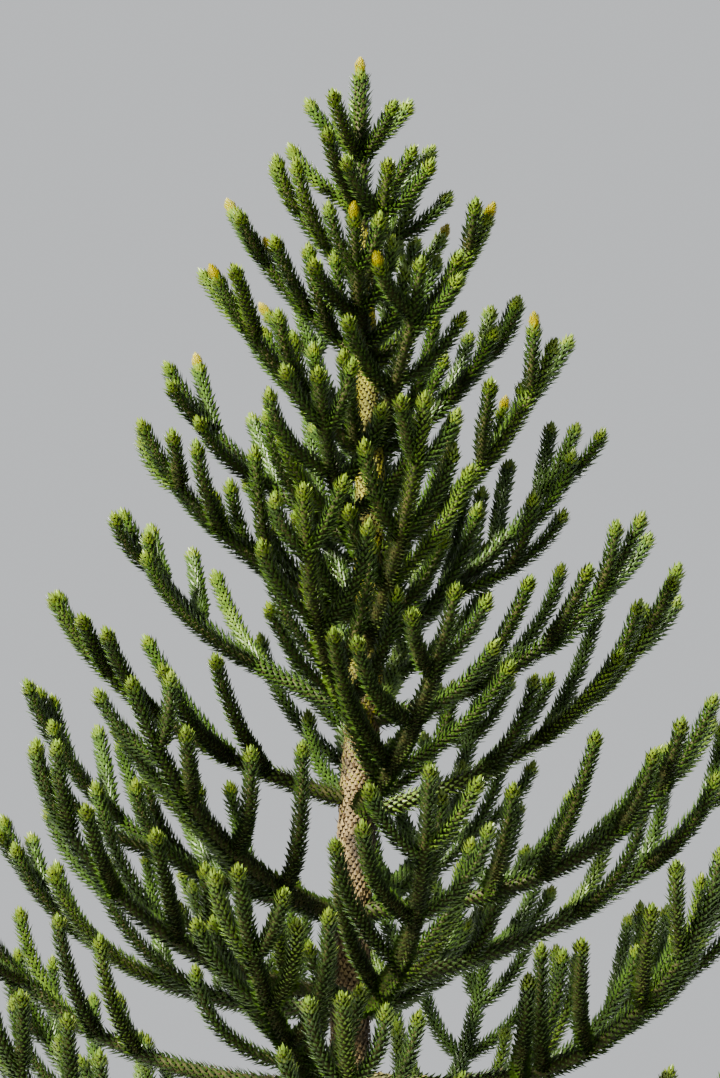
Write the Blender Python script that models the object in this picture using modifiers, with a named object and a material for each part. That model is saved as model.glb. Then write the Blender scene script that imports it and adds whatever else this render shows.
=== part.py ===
"""Potted monkey puzzle tree: a young tree, 4.15 m tall with its pot, in metres, +Z up.

The origin is the middle of the pot's flat underside. Headings are in degrees round the trunk,
0 along +X and 90 along +Y, and lifts are in degrees above the level.

The tree is one trunk with tiers of three to five limbs. Each limb bends up to the crown's
outline and bears pairs of side shoots. In the lowest tiers the inner part of each limb is a bough
of its own, and everything beyond it is one mass of foliage. In the upper tiers the whole limb is
clad in foliage from the trunk out, so it is one mass whose stem meets the trunk.
"""

import math
import random
from collections import namedtuple

import bmesh
import bpy
import numpy as np
from mathutils import Matrix, Vector

TREE_NAME = "potted_monkey_puzzle_tree"
SEAT_GAP = 0.0003
SEED = 31

# Pot and soil
POT_HEIGHT = 0.60
POT_FOOT_RADIUS = 0.315
POT_BODY_RADIUS = 0.405
POT_RIM_RADIUS = 0.43
POT_RIM_DEPTH = 0.085
POT_WALL = 0.028
POT_FLOOR = 0.035
POT_EDGE = 0.008
POT_SIDES = 24
DRAIN_COUNT = 3
DRAIN_RADIUS = 0.014
DRAIN_CIRCLE = 0.19
DRAIN_SIDES = 8
SOIL_DROP = 0.045
SOIL_TOP = POT_HEIGHT - SOIL_DROP
SOIL_SHOULDER = 0.012
SOIL_LEVEL_RADIUS = 0.16

# Trunk: heights with the radius at each, flaring at the soil
TREE_TOP = 4.15
TRUNK_FOOT = SOIL_TOP + SEAT_GAP
TRUNK_TOP = 3.66
TRUNK_PROFILE = (
    (TRUNK_FOOT, 0.088),
    (0.60, 0.072),
    (0.70, 0.060),
    (0.95, 0.054),
    (1.50, 0.052),
    (2.20, 0.046),
    (3.00, 0.034),
    (3.40, 0.026),
    (TRUNK_TOP, 0.021),
)
TRUNK_RINGS = 10
TRUNK_SIDES = 10
TRUNK_STRAIGHT_END = 0.02
TRUNK_WANDER = 0.028
TRUNK_DRIFT = 0.02

# Crown: its radius grows from the tip down, and it is fuller on the +X side
CROWN_RADIUS = 1.36
CROWN_DEPTH = 2.6
CROWN_SWELL = 0.75
CROWN_FULLER = 0.04

# Tiers of limbs, from the top down: height on the trunk, number of limbs, heading of the first,
# lift where a limb leaves the trunk, lift at its tip, and whether its inner part is a bough
Tier = namedtuple("Tier", "height limbs heading lift tip_lift has_bough")
TIERS = (
    Tier(3.46, 3, 60, 42, 68, False),
    Tier(3.23, 4, -10, 38, 67, False),
    Tier(2.99, 4, 26, 34, 66, False),
    Tier(2.74, 4, -14, 30, 66, False),
    Tier(2.49, 4, 20, 25, 66, False),
    Tier(2.24, 4, -22, 14, 67, False),
    Tier(1.98, 4, 10, 18, 68, False),
    Tier(1.72, 4, -28, 9, 70, False),
    Tier(1.46, 5, 0, 4, 72, False),
    Tier(1.20, 5, 36, -2, 74, True),
    Tier(0.95, 5, -4, -6, 74, True),
)
HEADING_JITTER = 12.0
HEIGHT_JITTER = 0.045
LIFT_JITTER = 6.0
ROOT_LIFT_JITTER = 8.0
LIMB_SWEEP = 14.0
LIMB_BEND = 1.55
LIMB_STEPS = 24
LENGTH_STEP = 0.01
BOUGH_SHARE = 0.30
BOUGH_SEGMENTS = 3
BOUGH_SIDES = 6
LIMB_SEGMENTS = 5
LIMB_SIDES = 4
LIMB_ROOT_RADIUS = 0.012
LIMB_ROOT_RADIUS_A_METRE = 0.010
LIMB_TIP_RADIUS = 0.014
LIMB_CLAD_SHARE = 0.67
JOINT_STRAIGHT = 0.02

# Side shoots, in pairs along each limb, the lower ones as long as the limb allows
PAIR_SPACING = 0.222
FIRST_PAIR = 0.22
FIRST_PAIR_BEYOND_BOUGH = 0.33
LAST_PAIR = 0.88
PAIR_STAGGER = 0.038
SIDE_SPREAD = 57.0
SIDE_SWEEP = -22.0
SIDE_LIFT = 9.0
SIDE_LIFT_SHARE = 0.5
SIDE_TIP_RISE = 4.0
SIDE_TIP_JITTER = 16.0
SIDE_TIP_MOST = 88.0
SIDE_JITTER = 13.0
SIDE_BENDS = (0.7, 1.5)
SIDE_LENGTH = 0.13
SIDE_LENGTH_SHARE = 0.46
SIDE_LENGTH_MOST = 0.48
SIDE_LENGTH_JITTER = 0.14
SHORTENINGS = (1.0, 0.8, 0.62)
SHOOT_RINGS = ((0.0, 0.018), (0.38, 0.027), (0.86, 0.025), (1.0, 0.0))
SHOOT_SIDES = 3
SHOOT_RADIUS = 0.025

# Leaves: stiff flat spikes set round the shoots in a spiral and leaning forward
LEAF_PITCH = 0.41
FIRST_LEAF = 0.25
LEAF_LENGTH = 0.078
LEAF_WIDTH = 0.022
LEAF_THICKNESS = 0.010
LEAF_LEAN = 40.0
LEAF_TURN = 137.5
LEAF_SIDES = 3

# Golden buds at the tips of some of the crown's upper shoots, and on the leader
BUD_TIERS = (1, 2, 3)
BUD_CHANCE = 0.17
BUD_RADIUS = 0.018
BUD_HALF_LENGTH = 0.022
BUD_SIDES = 5
BUD_RINGS = 3

# Leader: the growth above the trunk, with two whorls of short shoots
Whorl = namedtuple("Whorl", "height shoots length lift tip_lift")
LEADER_WHORLS = (Whorl(3.70, 5, 0.30, 28, 62), Whorl(3.88, 5, 0.24, 34, 62))
LEADER_RINGS = ((0.0, 0.021), (0.25, 0.026), (0.60, 0.025), (0.93, 0.022), (1.0, 0.0))
LEADER_SIDES = 5
LEADER_LENGTH_JITTER = 0.12

# Room: test balls along every limb, shoot and leaf keep each mass to its own space
BALL_STEP = 0.025
SHOOT_ROOM = 0.033
LEAF_ROOM = 0.009
LEAF_BALLS = (0.6, 0.8, 1.0)
CLEARANCE = 0.006
LIMB_ROOM_FROM = 0.12
SHOOT_ROOM_FROM = 0.2
TRUNK_OWNER = -1

WELD = 1e-6
SHARP_ANGLE = 40.0
LEAF_GREEN = (0.075, 0.125, 0.03, 1.0)
BARK = (0.22, 0.15, 0.08, 1.0)
TERRACOTTA = (0.45, 0.19, 0.10, 1.0)
SOIL_BROWN = (0.05, 0.03, 0.02, 1.0)


# The growth rule


def trunk_axis(height):
    """Centre of the trunk at a height: upright at the foot, then wandering a little to the sides."""
    share = max(height - TRUNK_FOOT - TRUNK_STRAIGHT_END, 0.0) / (TRUNK_TOP - TRUNK_FOOT)
    settled = (1 - math.cos(math.pi * min(share * 4, 1.0))) / 2
    across = -TRUNK_WANDER * math.sin(2 * math.pi * share) * settled
    return np.array((across, TRUNK_DRIFT * share**2, height))


def trunk_radius(height):
    heights, radii = zip(*TRUNK_PROFILE)
    return float(np.interp(height, heights, radii))


def crown_radius(height, heading):
    """How far the crown reaches from its axis at a height, in a direction."""
    depth = min(max((TREE_TOP - height) / CROWN_DEPTH, 0.0), 1.0)
    fuller = 1 + CROWN_FULLER * math.cos(math.radians(heading))
    return CROWN_RADIUS * depth**CROWN_SWELL * fuller


class Limb:
    """The centre line of a limb or shoot, which bends from its first lift to its tip's lift."""

    def __init__(self, start, heading, lift, tip_lift, length, sweep=0.0, bend=LIMB_BEND):
        self.shares = (np.arange(LIMB_STEPS) + 0.5) / LIMB_STEPS
        self.length = length
        self.headings = np.radians(heading + sweep * self.shares)
        self.lifts = np.radians(lift + (tip_lift - lift) * self.shares**bend)
        level = np.cos(self.lifts)
        ways = [level * np.cos(self.headings), level * np.sin(self.headings), np.sin(self.lifts)]
        steps = np.column_stack(ways) * length / LIMB_STEPS
        self.points = np.vstack([start, start + np.cumsum(steps, axis=0)])

    def at(self, share):
        """Centre of the limb at a share of its length."""
        place = min(max(share, 0.0), 1.0) * LIMB_STEPS
        station = min(int(place), LIMB_STEPS - 1)
        part = place - station
        return self.points[station] * (1 - part) + self.points[station + 1] * part

    def angles(self, share):
        """Heading and lift, in degrees, at a share of the length."""
        heading = np.interp(share, self.shares, self.headings)
        lift = np.interp(share, self.shares, self.lifts)
        return math.degrees(heading), math.degrees(lift)

    def direction(self, share):
        heading, lift = (math.radians(angle) for angle in self.angles(share))
        level = math.cos(lift)
        return np.array((level * math.cos(heading), level * math.sin(heading), math.sin(lift)))

    def balls(self, first=0.0):
        """Centres of test balls from a share of the length to the tip."""
        count = max(2, int((1 - first) * self.length / BALL_STEP) + 1)
        return np.array([self.at(share) for share in np.linspace(first, 1.0, count)])


class Space:
    """Test balls along everything placed so far, each with its radius and its owner."""

    def __init__(self):
        self.centres = np.empty((0, 3))
        self.radii = np.empty(0)
        self.owners = np.empty(0, int)

    def take(self, owner, centres, radii):
        self.centres = np.vstack([self.centres, centres])
        self.radii = np.append(self.radii, np.broadcast_to(radii, len(centres)))
        self.owners = np.append(self.owners, np.full(len(centres), owner))

    def is_free(self, owner, centres, radius):
        """Whether balls of an owner stay clear of what the other owners hold."""
        others = self.owners != owner
        apart = np.linalg.norm(centres[:, None] - self.centres[others][None], axis=2)
        return bool((apart > radius + self.radii[others] + CLEARANCE).all())


def length_to_outline(start, heading, lift, tip_lift, sweep):
    """Length at which a limb's tip meets the crown's outline."""
    reach = Limb(np.zeros(3), heading, lift, tip_lift, 1.0, sweep).points[-1]
    length = LENGTH_STEP
    tip = start
    while math.hypot(tip[0], tip[1]) < crown_radius(tip[2], heading):
        length += LENGTH_STEP
        tip = start + reach * length
    return length


def main_limb(tier, number, rng):
    height = tier.height + rng.uniform(-HEIGHT_JITTER, HEIGHT_JITTER)
    heading = tier.heading + 360.0 / tier.limbs * number
    heading += rng.uniform(-HEADING_JITTER, HEADING_JITTER)
    lift = tier.lift + rng.uniform(-ROOT_LIFT_JITTER, ROOT_LIFT_JITTER)
    tip_lift = tier.tip_lift + rng.uniform(-LIFT_JITTER, LIFT_JITTER)
    sweep = rng.uniform(-LIMB_SWEEP, LIMB_SWEEP)
    start = trunk_axis(height)
    length = length_to_outline(start, heading, lift, tip_lift, sweep)
    return Limb(start, heading, lift, tip_lift, length, sweep)


def wished_shoots(limb, first_pair, tip_lift, rng):
    """The side shoots, in pairs, that a limb would bear if nothing stood in their way."""
    pairs = max(1, round(limb.length * (LAST_PAIR - first_pair) / PAIR_SPACING))
    for pair in range(pairs):
        middle = first_pair + (LAST_PAIR - first_pair) * (pair + 0.5) / pairs
        for side in (-1, 1):
            share = middle + rng.uniform(-PAIR_STAGGER, PAIR_STAGGER) / limb.length
            heading, lift = limb.angles(share)
            heading += side * (SIDE_SPREAD + rng.uniform(-SIDE_JITTER, SIDE_JITTER))
            lift = SIDE_LIFT + lift * SIDE_LIFT_SHARE + rng.uniform(-SIDE_JITTER, SIDE_JITTER)
            last_lift = tip_lift + SIDE_TIP_RISE + rng.uniform(-SIDE_TIP_JITTER, SIDE_TIP_JITTER)
            last_lift = min(last_lift, SIDE_TIP_MOST)
            bend = rng.uniform(*SIDE_BENDS)
            length = SIDE_LENGTH + SIDE_LENGTH_SHARE * (1 - share) * limb.length
            length = min(length, SIDE_LENGTH_MOST)
            length *= 1 + rng.uniform(-SIDE_LENGTH_JITTER, SIDE_LENGTH_JITTER)
            yield limb.at(share), heading, lift, last_lift, length, side * SIDE_SWEEP, bend


def placed_shoots(owner, limb, tier, rng, space):
    """The side shoots that find room: one that would touch another mass is shortened or skipped."""
    first_pair = FIRST_PAIR_BEYOND_BOUGH if tier.has_bough else FIRST_PAIR
    found = []
    for start, heading, lift, tip_lift, length, sweep, bend in wished_shoots(
        limb, first_pair, tier.tip_lift, rng
    ):
        for shortening in SHORTENINGS:
            shoot = Limb(start, heading, lift, tip_lift, length * shortening, sweep, bend)
            balls = shoot.balls(SHOOT_ROOM_FROM)
            if space.is_free(owner, balls, SHOOT_ROOM):
                space.take(owner, balls, SHOOT_ROOM)
                found.append(shoot)
                break
    return found


def along(centre, direction, turn=0.0):
    """The place of a thing at a centre, its Z axis along a direction, turned about that axis."""
    facing = Vector(direction).to_track_quat("Z", "Y").to_matrix().to_4x4()
    return Matrix.Translation(Vector(centre)) @ facing @ Matrix.Rotation(math.radians(turn), 4, "Z")


def placed_leaves(owner, limb, first, rng, space):
    """Places of the leaves on a shoot that touch no other mass, each rooted on its centre line."""
    count = round((1 - first) * limb.length / LEAF_PITCH)
    turn = rng.uniform(0, 360)
    found = []
    for number in range(count):
        share = first + (1 - first) * (number + 0.5) / count
        turn += LEAF_TURN
        place = along(limb.at(share), limb.direction(share), turn)
        place = place @ Matrix.Rotation(math.radians(LEAF_LEAN), 4, "Y")
        balls = np.array([place @ Vector((0, 0, LEAF_LENGTH * part)) for part in LEAF_BALLS])
        if space.is_free(owner, balls, LEAF_ROOM):
            space.take(owner, balls, LEAF_ROOM)
            found.append(place)
    return found


def grow_leader():
    """The leader's own line, straight on from the trunk, then its short shoots."""
    foot = trunk_axis(TRUNK_TOP + SEAT_GAP)
    limbs = [Limb(foot, 0.0, 90.0, 90.0, TREE_TOP - BUD_HALF_LENGTH - foot[2])]
    rng = random.Random(f"{SEED}/leader")
    for whorl in LEADER_WHORLS:
        first_heading = rng.uniform(0, 360)
        for number in range(whorl.shoots):
            heading = first_heading + 360.0 * number / whorl.shoots
            heading += rng.uniform(-HEADING_JITTER, HEADING_JITTER)
            height = whorl.height + rng.uniform(-HEIGHT_JITTER, HEIGHT_JITTER) / 2
            length = whorl.length * (1 + rng.uniform(-LEADER_LENGTH_JITTER, LEADER_LENGTH_JITTER))
            start = np.array((foot[0], foot[1], height))
            limbs.append(Limb(start, heading, whorl.lift, whorl.tip_lift, length))
    return limbs


Branch = namedtuple("Branch", "name tier limb shoots leaves")


def grow_tree():
    """The leader and every limb of every tier, each with its side shoots and its leaves' places."""
    space = Space()
    heights = np.arange(TRUNK_FOOT, TRUNK_TOP, BALL_STEP)
    centres = np.array([trunk_axis(height) for height in heights])
    space.take(TRUNK_OWNER, centres, [trunk_radius(height) for height in heights])
    leader_limbs = grow_leader()
    grown = []
    for row, tier in enumerate(TIERS):
        for number in range(tier.limbs):
            rng = random.Random(f"{SEED}/{row}/{number}")
            name = f"tier_{row + 1:02d}_{'abcde'[number]}"
            grown.append((name, tier, main_limb(tier, number, rng), rng))
    for owner, (_, _, limb, _) in enumerate(grown):
        space.take(owner, limb.balls(LIMB_ROOM_FROM), SHOOT_ROOM)
    for limb in leader_limbs:
        space.take(len(grown), limb.balls(), SHOOT_ROOM)
    shoots = []
    for owner, (_, tier, limb, rng) in enumerate(grown):
        shoots.append(placed_shoots(owner, limb, tier, rng, space))
    branches = []
    for owner, (name, tier, limb, rng) in enumerate(grown):
        first_leaf = BOUGH_SHARE + FIRST_LEAF / 2 if tier.has_bough else FIRST_LEAF
        leaves = placed_leaves(owner, limb, first_leaf, rng, space)
        for shoot in shoots[owner]:
            leaves += placed_leaves(owner, shoot, FIRST_LEAF, rng, space)
        branches.append(Branch(name, tier, limb, shoots[owner], leaves))
    rng = random.Random(f"{SEED}/leader/leaves")
    leaves = []
    for limb in leader_limbs:
        leaves += placed_leaves(len(grown), limb, FIRST_LEAF, rng, space)
    leader = Branch("leader", None, leader_limbs[0], leader_limbs[1:], leaves)
    return leader, branches


def budded_limbs(branch):
    """The limbs of a branch that end in a golden bud: some in the budded tiers, else none."""
    if TIERS.index(branch.tier) not in BUD_TIERS:
        return []
    rng = random.Random(f"{SEED}/buds/{branch.name}")
    return [limb for limb in (branch.limb, *branch.shoots) if rng.random() < BUD_CHANCE]


# Making solids


def material(name, colour, roughness):
    finish = bpy.data.materials.new(name)
    finish.use_nodes = True
    shader = finish.node_tree.nodes["Principled BSDF"]
    shader.inputs["Base Color"].default_value = colour
    shader.inputs["Roughness"].default_value = roughness
    shader.inputs["Metallic"].default_value = 0.0
    return finish


def object_of(mesh, collection=None):
    piece = bpy.data.objects.new(mesh.name, mesh)
    (collection or bpy.context.scene.collection).objects.link(piece)
    return piece


def keep(piece, name, finish, smooth=False):
    """Names a finished piece, gives it its material and puts it in the tree's collection."""
    piece.name = name
    piece.data.name = name
    piece.data.materials.clear()
    piece.data.materials.append(finish)
    if smooth:
        piece.data.shade_smooth()
        piece.data.set_sharp_from_angle(angle=math.radians(SHARP_ANGLE))
    for collection in list(piece.users_collection):
        collection.objects.unlink(piece)
    bpy.data.collections[TREE_NAME].objects.link(piece)
    return piece


def drop(piece):
    """Removes a helper object with its data."""
    data = piece.data
    bpy.data.objects.remove(piece)
    if isinstance(data, bpy.types.Mesh):
        bpy.data.meshes.remove(data)
    else:
        bpy.data.curves.remove(data)


def as_mesh(piece, collection=None):
    """The evaluated piece as a plain welded mesh object, in place of the piece itself."""
    graph = bpy.context.evaluated_depsgraph_get()
    mesh = bpy.data.meshes.new_from_object(piece.evaluated_get(graph))
    shape = bmesh.new()
    shape.from_mesh(mesh)
    bmesh.ops.remove_doubles(shape, verts=shape.verts, dist=WELD)
    bmesh.ops.recalc_face_normals(shape, faces=shape.faces)
    shape.to_mesh(mesh)
    shape.free()
    solid = object_of(mesh, collection)
    solid.matrix_world = piece.matrix_world
    drop(piece)
    return solid


def cross_section(sides):
    """A closed outline of radius 1 that a tube is drawn with."""
    outline = bpy.data.curves.new("cross_section", "CURVE")
    spline = outline.splines.new("POLY")
    spline.points.add(sides - 1)
    for number, point in enumerate(spline.points):
        turn = 2 * math.pi * number / sides
        point.co = (math.cos(turn), math.sin(turn), 0.0, 1.0)
    spline.use_cyclic_u = True
    guide = bpy.data.objects.new("cross_section", outline)
    guide.hide_render = True
    bpy.context.scene.collection.objects.link(guide)
    return guide


def tube(points, radii, sides, collection=None):
    """A tube through the points with its own radius at each, flat at its ends or drawn to a point."""
    guide = cross_section(sides)
    line = bpy.data.curves.new("tube", "CURVE")
    line.dimensions = "3D"
    line.bevel_mode = "OBJECT"
    line.bevel_object = guide
    line.use_fill_caps = True
    spline = line.splines.new("POLY")
    spline.points.add(len(points) - 1)
    for point, place, radius in zip(spline.points, points, radii):
        point.co = (*place, 1.0)
        point.radius = radius
    piece = bpy.data.objects.new("tube", line)
    bpy.context.scene.collection.objects.link(piece)
    solid = as_mesh(piece, collection)
    drop(guide)
    return solid


def leaf_spike(place, collection):
    """A flat spike from its root at the place's centre to its tip along the place's Z axis."""
    flat = Matrix.Diagonal((LEAF_THICKNESS / 2, LEAF_WIDTH / 2, 1.0, 1.0))
    shape = bmesh.new()
    bmesh.ops.create_cone(
        shape,
        cap_ends=True,
        segments=LEAF_SIDES,
        radius1=1.0,
        radius2=0.0,
        depth=LEAF_LENGTH,
        matrix=place @ flat @ Matrix.Translation((0, 0, LEAF_LENGTH / 2)),
    )
    mesh = bpy.data.meshes.new("leaf")
    shape.to_mesh(mesh)
    shape.free()
    return object_of(mesh, collection)


def bud(limb, collection):
    """An egg-shaped bud round a limb's tip."""
    place = along(limb.at(1.0), limb.direction(1.0))
    stretch = Matrix.Diagonal((BUD_RADIUS, BUD_RADIUS, BUD_HALF_LENGTH, 1.0))
    shape = bmesh.new()
    bmesh.ops.create_uvsphere(
        shape, u_segments=BUD_SIDES, v_segments=BUD_RINGS, radius=1.0, matrix=place @ stretch
    )
    mesh = bpy.data.meshes.new("bud")
    shape.to_mesh(mesh)
    shape.free()
    return object_of(mesh, collection)


def apply_boolean(piece, operation, solver, cutter=None, collection=None):
    """Cuts a mesh object by a cutter, or joins a whole collection to it, and applies the result."""
    change = piece.modifiers.new("change", "BOOLEAN")
    change.operation = operation
    change.solver = solver
    if collection:
        change.operand_type = "COLLECTION"
        change.collection = collection
    else:
        change.object = cutter
    graph = bpy.context.evaluated_depsgraph_get()
    changed = bpy.data.meshes.new_from_object(piece.evaluated_get(graph))
    before = piece.data
    piece.modifiers.clear()
    piece.data = changed
    bpy.data.meshes.remove(before)


def keep_largest_body(piece):
    """Drops loose scraps and the walls of sealed hollows, and leaves only triangles."""
    shape = bmesh.new()
    shape.from_mesh(piece.data)
    bmesh.ops.dissolve_degenerate(shape, edges=shape.edges, dist=WELD)
    bmesh.ops.triangulate(shape, faces=shape.faces)
    unseen = set(shape.verts)
    bodies = []
    while unseen:
        front = [unseen.pop()]
        body = set(front)
        while front:
            near = {corner for edge in front.pop().link_edges for corner in edge.verts} & unseen
            unseen -= near
            body |= near
            front += near
        bodies.append(body)
    bodies.sort(key=len)
    scraps = [corner for body in bodies[:-1] for corner in body]
    bmesh.ops.delete(shape, geom=scraps, context="VERTS")
    shape.to_mesh(piece.data)
    shape.free()


# Pot and soil


def turned(name, profile):
    """A turned solid from a profile of (radius, height) points that runs down the outside."""
    mesh = bpy.data.meshes.new(name)
    corners = [(radius, 0.0, height) for radius, height in profile]
    mesh.from_pydata(corners, [(place, place + 1) for place in range(len(profile) - 1)], [])
    piece = object_of(mesh)
    screw = piece.modifiers.new("turn", "SCREW")
    screw.steps = POT_SIDES
    screw.render_steps = POT_SIDES
    screw.use_merge_vertices = True
    screw.merge_threshold = WELD
    return as_mesh(piece)


def pot_inner_radius(height):
    """Radius of the pot's inside at a height, growing evenly from the floor to the rim."""
    share = (height - POT_FLOOR) / (POT_HEIGHT - POT_FLOOR)
    return POT_FOOT_RADIUS - POT_WALL + (POT_BODY_RADIUS - POT_FOOT_RADIUS) * share


def make_pot(finish):
    """A tapered pot with a rolled rim band and drain holes through its floor."""
    rim_foot = POT_HEIGHT - POT_RIM_DEPTH
    body_top = POT_FOOT_RADIUS + (POT_BODY_RADIUS - POT_FOOT_RADIUS) * rim_foot / POT_HEIGHT
    profile = (
        (0.0, POT_FLOOR),
        (pot_inner_radius(POT_FLOOR), POT_FLOOR),
        (pot_inner_radius(POT_HEIGHT - POT_EDGE), POT_HEIGHT - POT_EDGE),
        (pot_inner_radius(POT_HEIGHT) + POT_EDGE, POT_HEIGHT),
        (POT_RIM_RADIUS - POT_EDGE, POT_HEIGHT),
        (POT_RIM_RADIUS, POT_HEIGHT - POT_EDGE),
        (POT_RIM_RADIUS - POT_EDGE / 2, rim_foot + POT_EDGE),
        (POT_RIM_RADIUS - POT_EDGE * 1.5, rim_foot),
        (body_top, rim_foot - POT_EDGE / 2),
        (POT_FOOT_RADIUS + POT_EDGE / 2, POT_EDGE),
        (POT_FOOT_RADIUS - POT_EDGE / 2, 0.0),
        (0.0, 0.0),
    )
    pot = turned("pot", profile)
    for number in range(DRAIN_COUNT):
        turn = 2 * math.pi * (number + 0.5) / DRAIN_COUNT
        centre = (DRAIN_CIRCLE * math.cos(turn), DRAIN_CIRCLE * math.sin(turn), POT_FLOOR / 2)
        shape = bmesh.new()
        bmesh.ops.create_cone(
            shape,
            cap_ends=True,
            segments=DRAIN_SIDES,
            radius1=DRAIN_RADIUS,
            radius2=DRAIN_RADIUS,
            depth=POT_FLOOR * 2,
            matrix=Matrix.Translation(centre),
        )
        mesh = bpy.data.meshes.new("drain")
        shape.to_mesh(mesh)
        shape.free()
        drain = object_of(mesh)
        apply_boolean(pot, "DIFFERENCE", "EXACT", cutter=drain)
        drop(drain)
    return keep(pot, "pot", finish, smooth=True)


def make_soil(finish):
    """The soil that fills the pot, level under the trunk and a little lower at the rim."""
    floor = POT_FLOOR + SEAT_GAP
    shoulder = SOIL_TOP - SOIL_SHOULDER
    profile = (
        (0.0, SOIL_TOP),
        (SOIL_LEVEL_RADIUS, SOIL_TOP),
        (pot_inner_radius(shoulder) - SEAT_GAP * 2, shoulder),
        (pot_inner_radius(floor) - SEAT_GAP * 2, floor),
        (0.0, floor),
    )
    return keep(turned("soil", profile), "soil", finish)


# Trunk, boughs and foliage


def trunk_tube(spare=0.0):
    """The trunk's solid, made thicker all round by the spare."""
    rise = (TRUNK_TOP - TRUNK_FOOT) / TRUNK_RINGS
    heights = [TRUNK_FOOT, TRUNK_FOOT + TRUNK_STRAIGHT_END]
    heights += [height for height, _ in TRUNK_PROFILE[1:3]]
    heights += [TRUNK_FOOT + rise * ring for ring in range(1, TRUNK_RINGS)]
    heights += [TRUNK_TOP - TRUNK_STRAIGHT_END, TRUNK_TOP]
    heights.sort()
    points = [trunk_axis(height) for height in heights]
    points[-2][:2] = points[-1][:2]
    return tube(points, [trunk_radius(height) + spare for height in heights], TRUNK_SIDES)


def limb_radius(limb, share):
    """Radius of a limb's wood, thicker at the root of a longer limb."""
    root = LIMB_ROOT_RADIUS + LIMB_ROOT_RADIUS_A_METRE * limb.length
    return root + (LIMB_TIP_RADIUS - root) * share


def clad_radius(limb, share):
    """Radius of a limb with its close leaves, which hide more of the wood towards the tip."""
    return max(limb_radius(limb, share), SHOOT_RADIUS * min(share / LIMB_CLAD_SHARE, 1.0))


def stations(first, last, segments):
    return [first + (last - first) * number / segments for number in range(segments + 1)]


def make_bough(branch, around_trunk, finish):
    """The inner part of a limb, from the trunk's surface to where its mass begins."""
    limb = branch.limb
    shares = stations(0.0, BOUGH_SHARE, BOUGH_SEGMENTS)
    points = [limb.at(share) for share in shares]
    radii = [limb_radius(limb, share) for share in shares]
    points.insert(-1, points[-1] - limb.direction(BOUGH_SHARE) * JOINT_STRAIGHT)
    radii.insert(-1, radii[-1])
    bough = tube(points, radii, BOUGH_SIDES)
    apply_boolean(bough, "DIFFERENCE", "EXACT", cutter=around_trunk)
    keep_largest_body(bough)
    return keep(bough, f"bough_{branch.name}", finish, smooth=True)


def join_foliage(mass, branch, budded):
    """Joins a branch's shoots and leaves, and the buds of its budded limbs, to its stem."""
    joined = bpy.data.collections.new("joined")
    bpy.context.scene.collection.children.link(joined)
    for shoot in branch.shoots:
        points = [shoot.at(share) for share, _ in SHOOT_RINGS]
        tube(points, [radius for _, radius in SHOOT_RINGS], SHOOT_SIDES, joined)
    for place in branch.leaves:
        leaf_spike(place, joined)
    for limb in budded:
        bud(limb, joined)
    apply_boolean(mass, "UNION", "MANIFOLD", collection=joined)
    for piece in list(joined.objects):
        drop(piece)
    bpy.data.collections.remove(joined)


def make_mass(branch, around_trunk, finish):
    """One limb's foliage: its own stem, its side shoots and their leaves."""
    limb = branch.limb
    first = BOUGH_SHARE if branch.tier.has_bough else 0.0
    shares = stations(first, 1.0, LIMB_SEGMENTS)
    points = [limb.at(share) for share in shares]
    radii = [clad_radius(limb, share) for share in shares[:-1]] + [0.0]
    if branch.tier.has_bough:
        ahead = limb.direction(first)
        points[0] = points[0] + ahead * SEAT_GAP
        points.insert(1, points[0] + ahead * JOINT_STRAIGHT)
        radii.insert(1, radii[0])
    mass = tube(points, radii, LIMB_SIDES)
    join_foliage(mass, branch, budded_limbs(branch))
    if not branch.tier.has_bough:
        apply_boolean(mass, "DIFFERENCE", "EXACT", cutter=around_trunk)
    keep_largest_body(mass)
    return keep(mass, f"foliage_{branch.name}", finish)


def make_leader(leader, finish):
    """The top shoot, which stands on the trunk's tip."""
    points = [leader.limb.at(share) for share, _ in LEADER_RINGS]
    mass = tube(points, [radius for _, radius in LEADER_RINGS], LEADER_SIDES)
    join_foliage(mass, leader, [leader.limb])
    keep_largest_body(mass)
    return keep(mass, "leader", finish)


def main():
    for piece in list(bpy.data.objects):
        bpy.data.objects.remove(piece)
    bpy.context.scene.collection.children.link(bpy.data.collections.new(TREE_NAME))
    foliage = material("foliage", LEAF_GREEN, 0.55)
    bark = material("bark", BARK, 0.85)
    make_pot(material("terracotta", TERRACOTTA, 0.8))
    make_soil(material("soil", SOIL_BROWN, 0.95))
    keep(trunk_tube(), "trunk", bark, smooth=True)
    leader, branches = grow_tree()
    make_leader(leader, foliage)
    around_trunk = trunk_tube(SEAT_GAP)
    for branch in branches:
        if branch.tier.has_bough:
            make_bough(branch, around_trunk, bark)
        make_mass(branch, around_trunk, foliage)
    drop(around_trunk)


if __name__ == "__main__":
    main()
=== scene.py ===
"""Looks of the potted monkey puzzle tree: leafy shoots, old leaves, bark, clay pot and soil.

Everything is in metres, +Z up, with the origin at the middle of the pot's flat underside. The limbs
and side shoots grow by the same rule and seeds as the solids, and finer twigs grow on from them.
"""

import functools
import math
import random
from collections import namedtuple

import bmesh
import bpy
import numpy as np
from bpy.props import FloatProperty, FloatVectorProperty, IntProperty, PointerProperty, StringProperty
from mathutils import Matrix, Vector, noise


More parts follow.
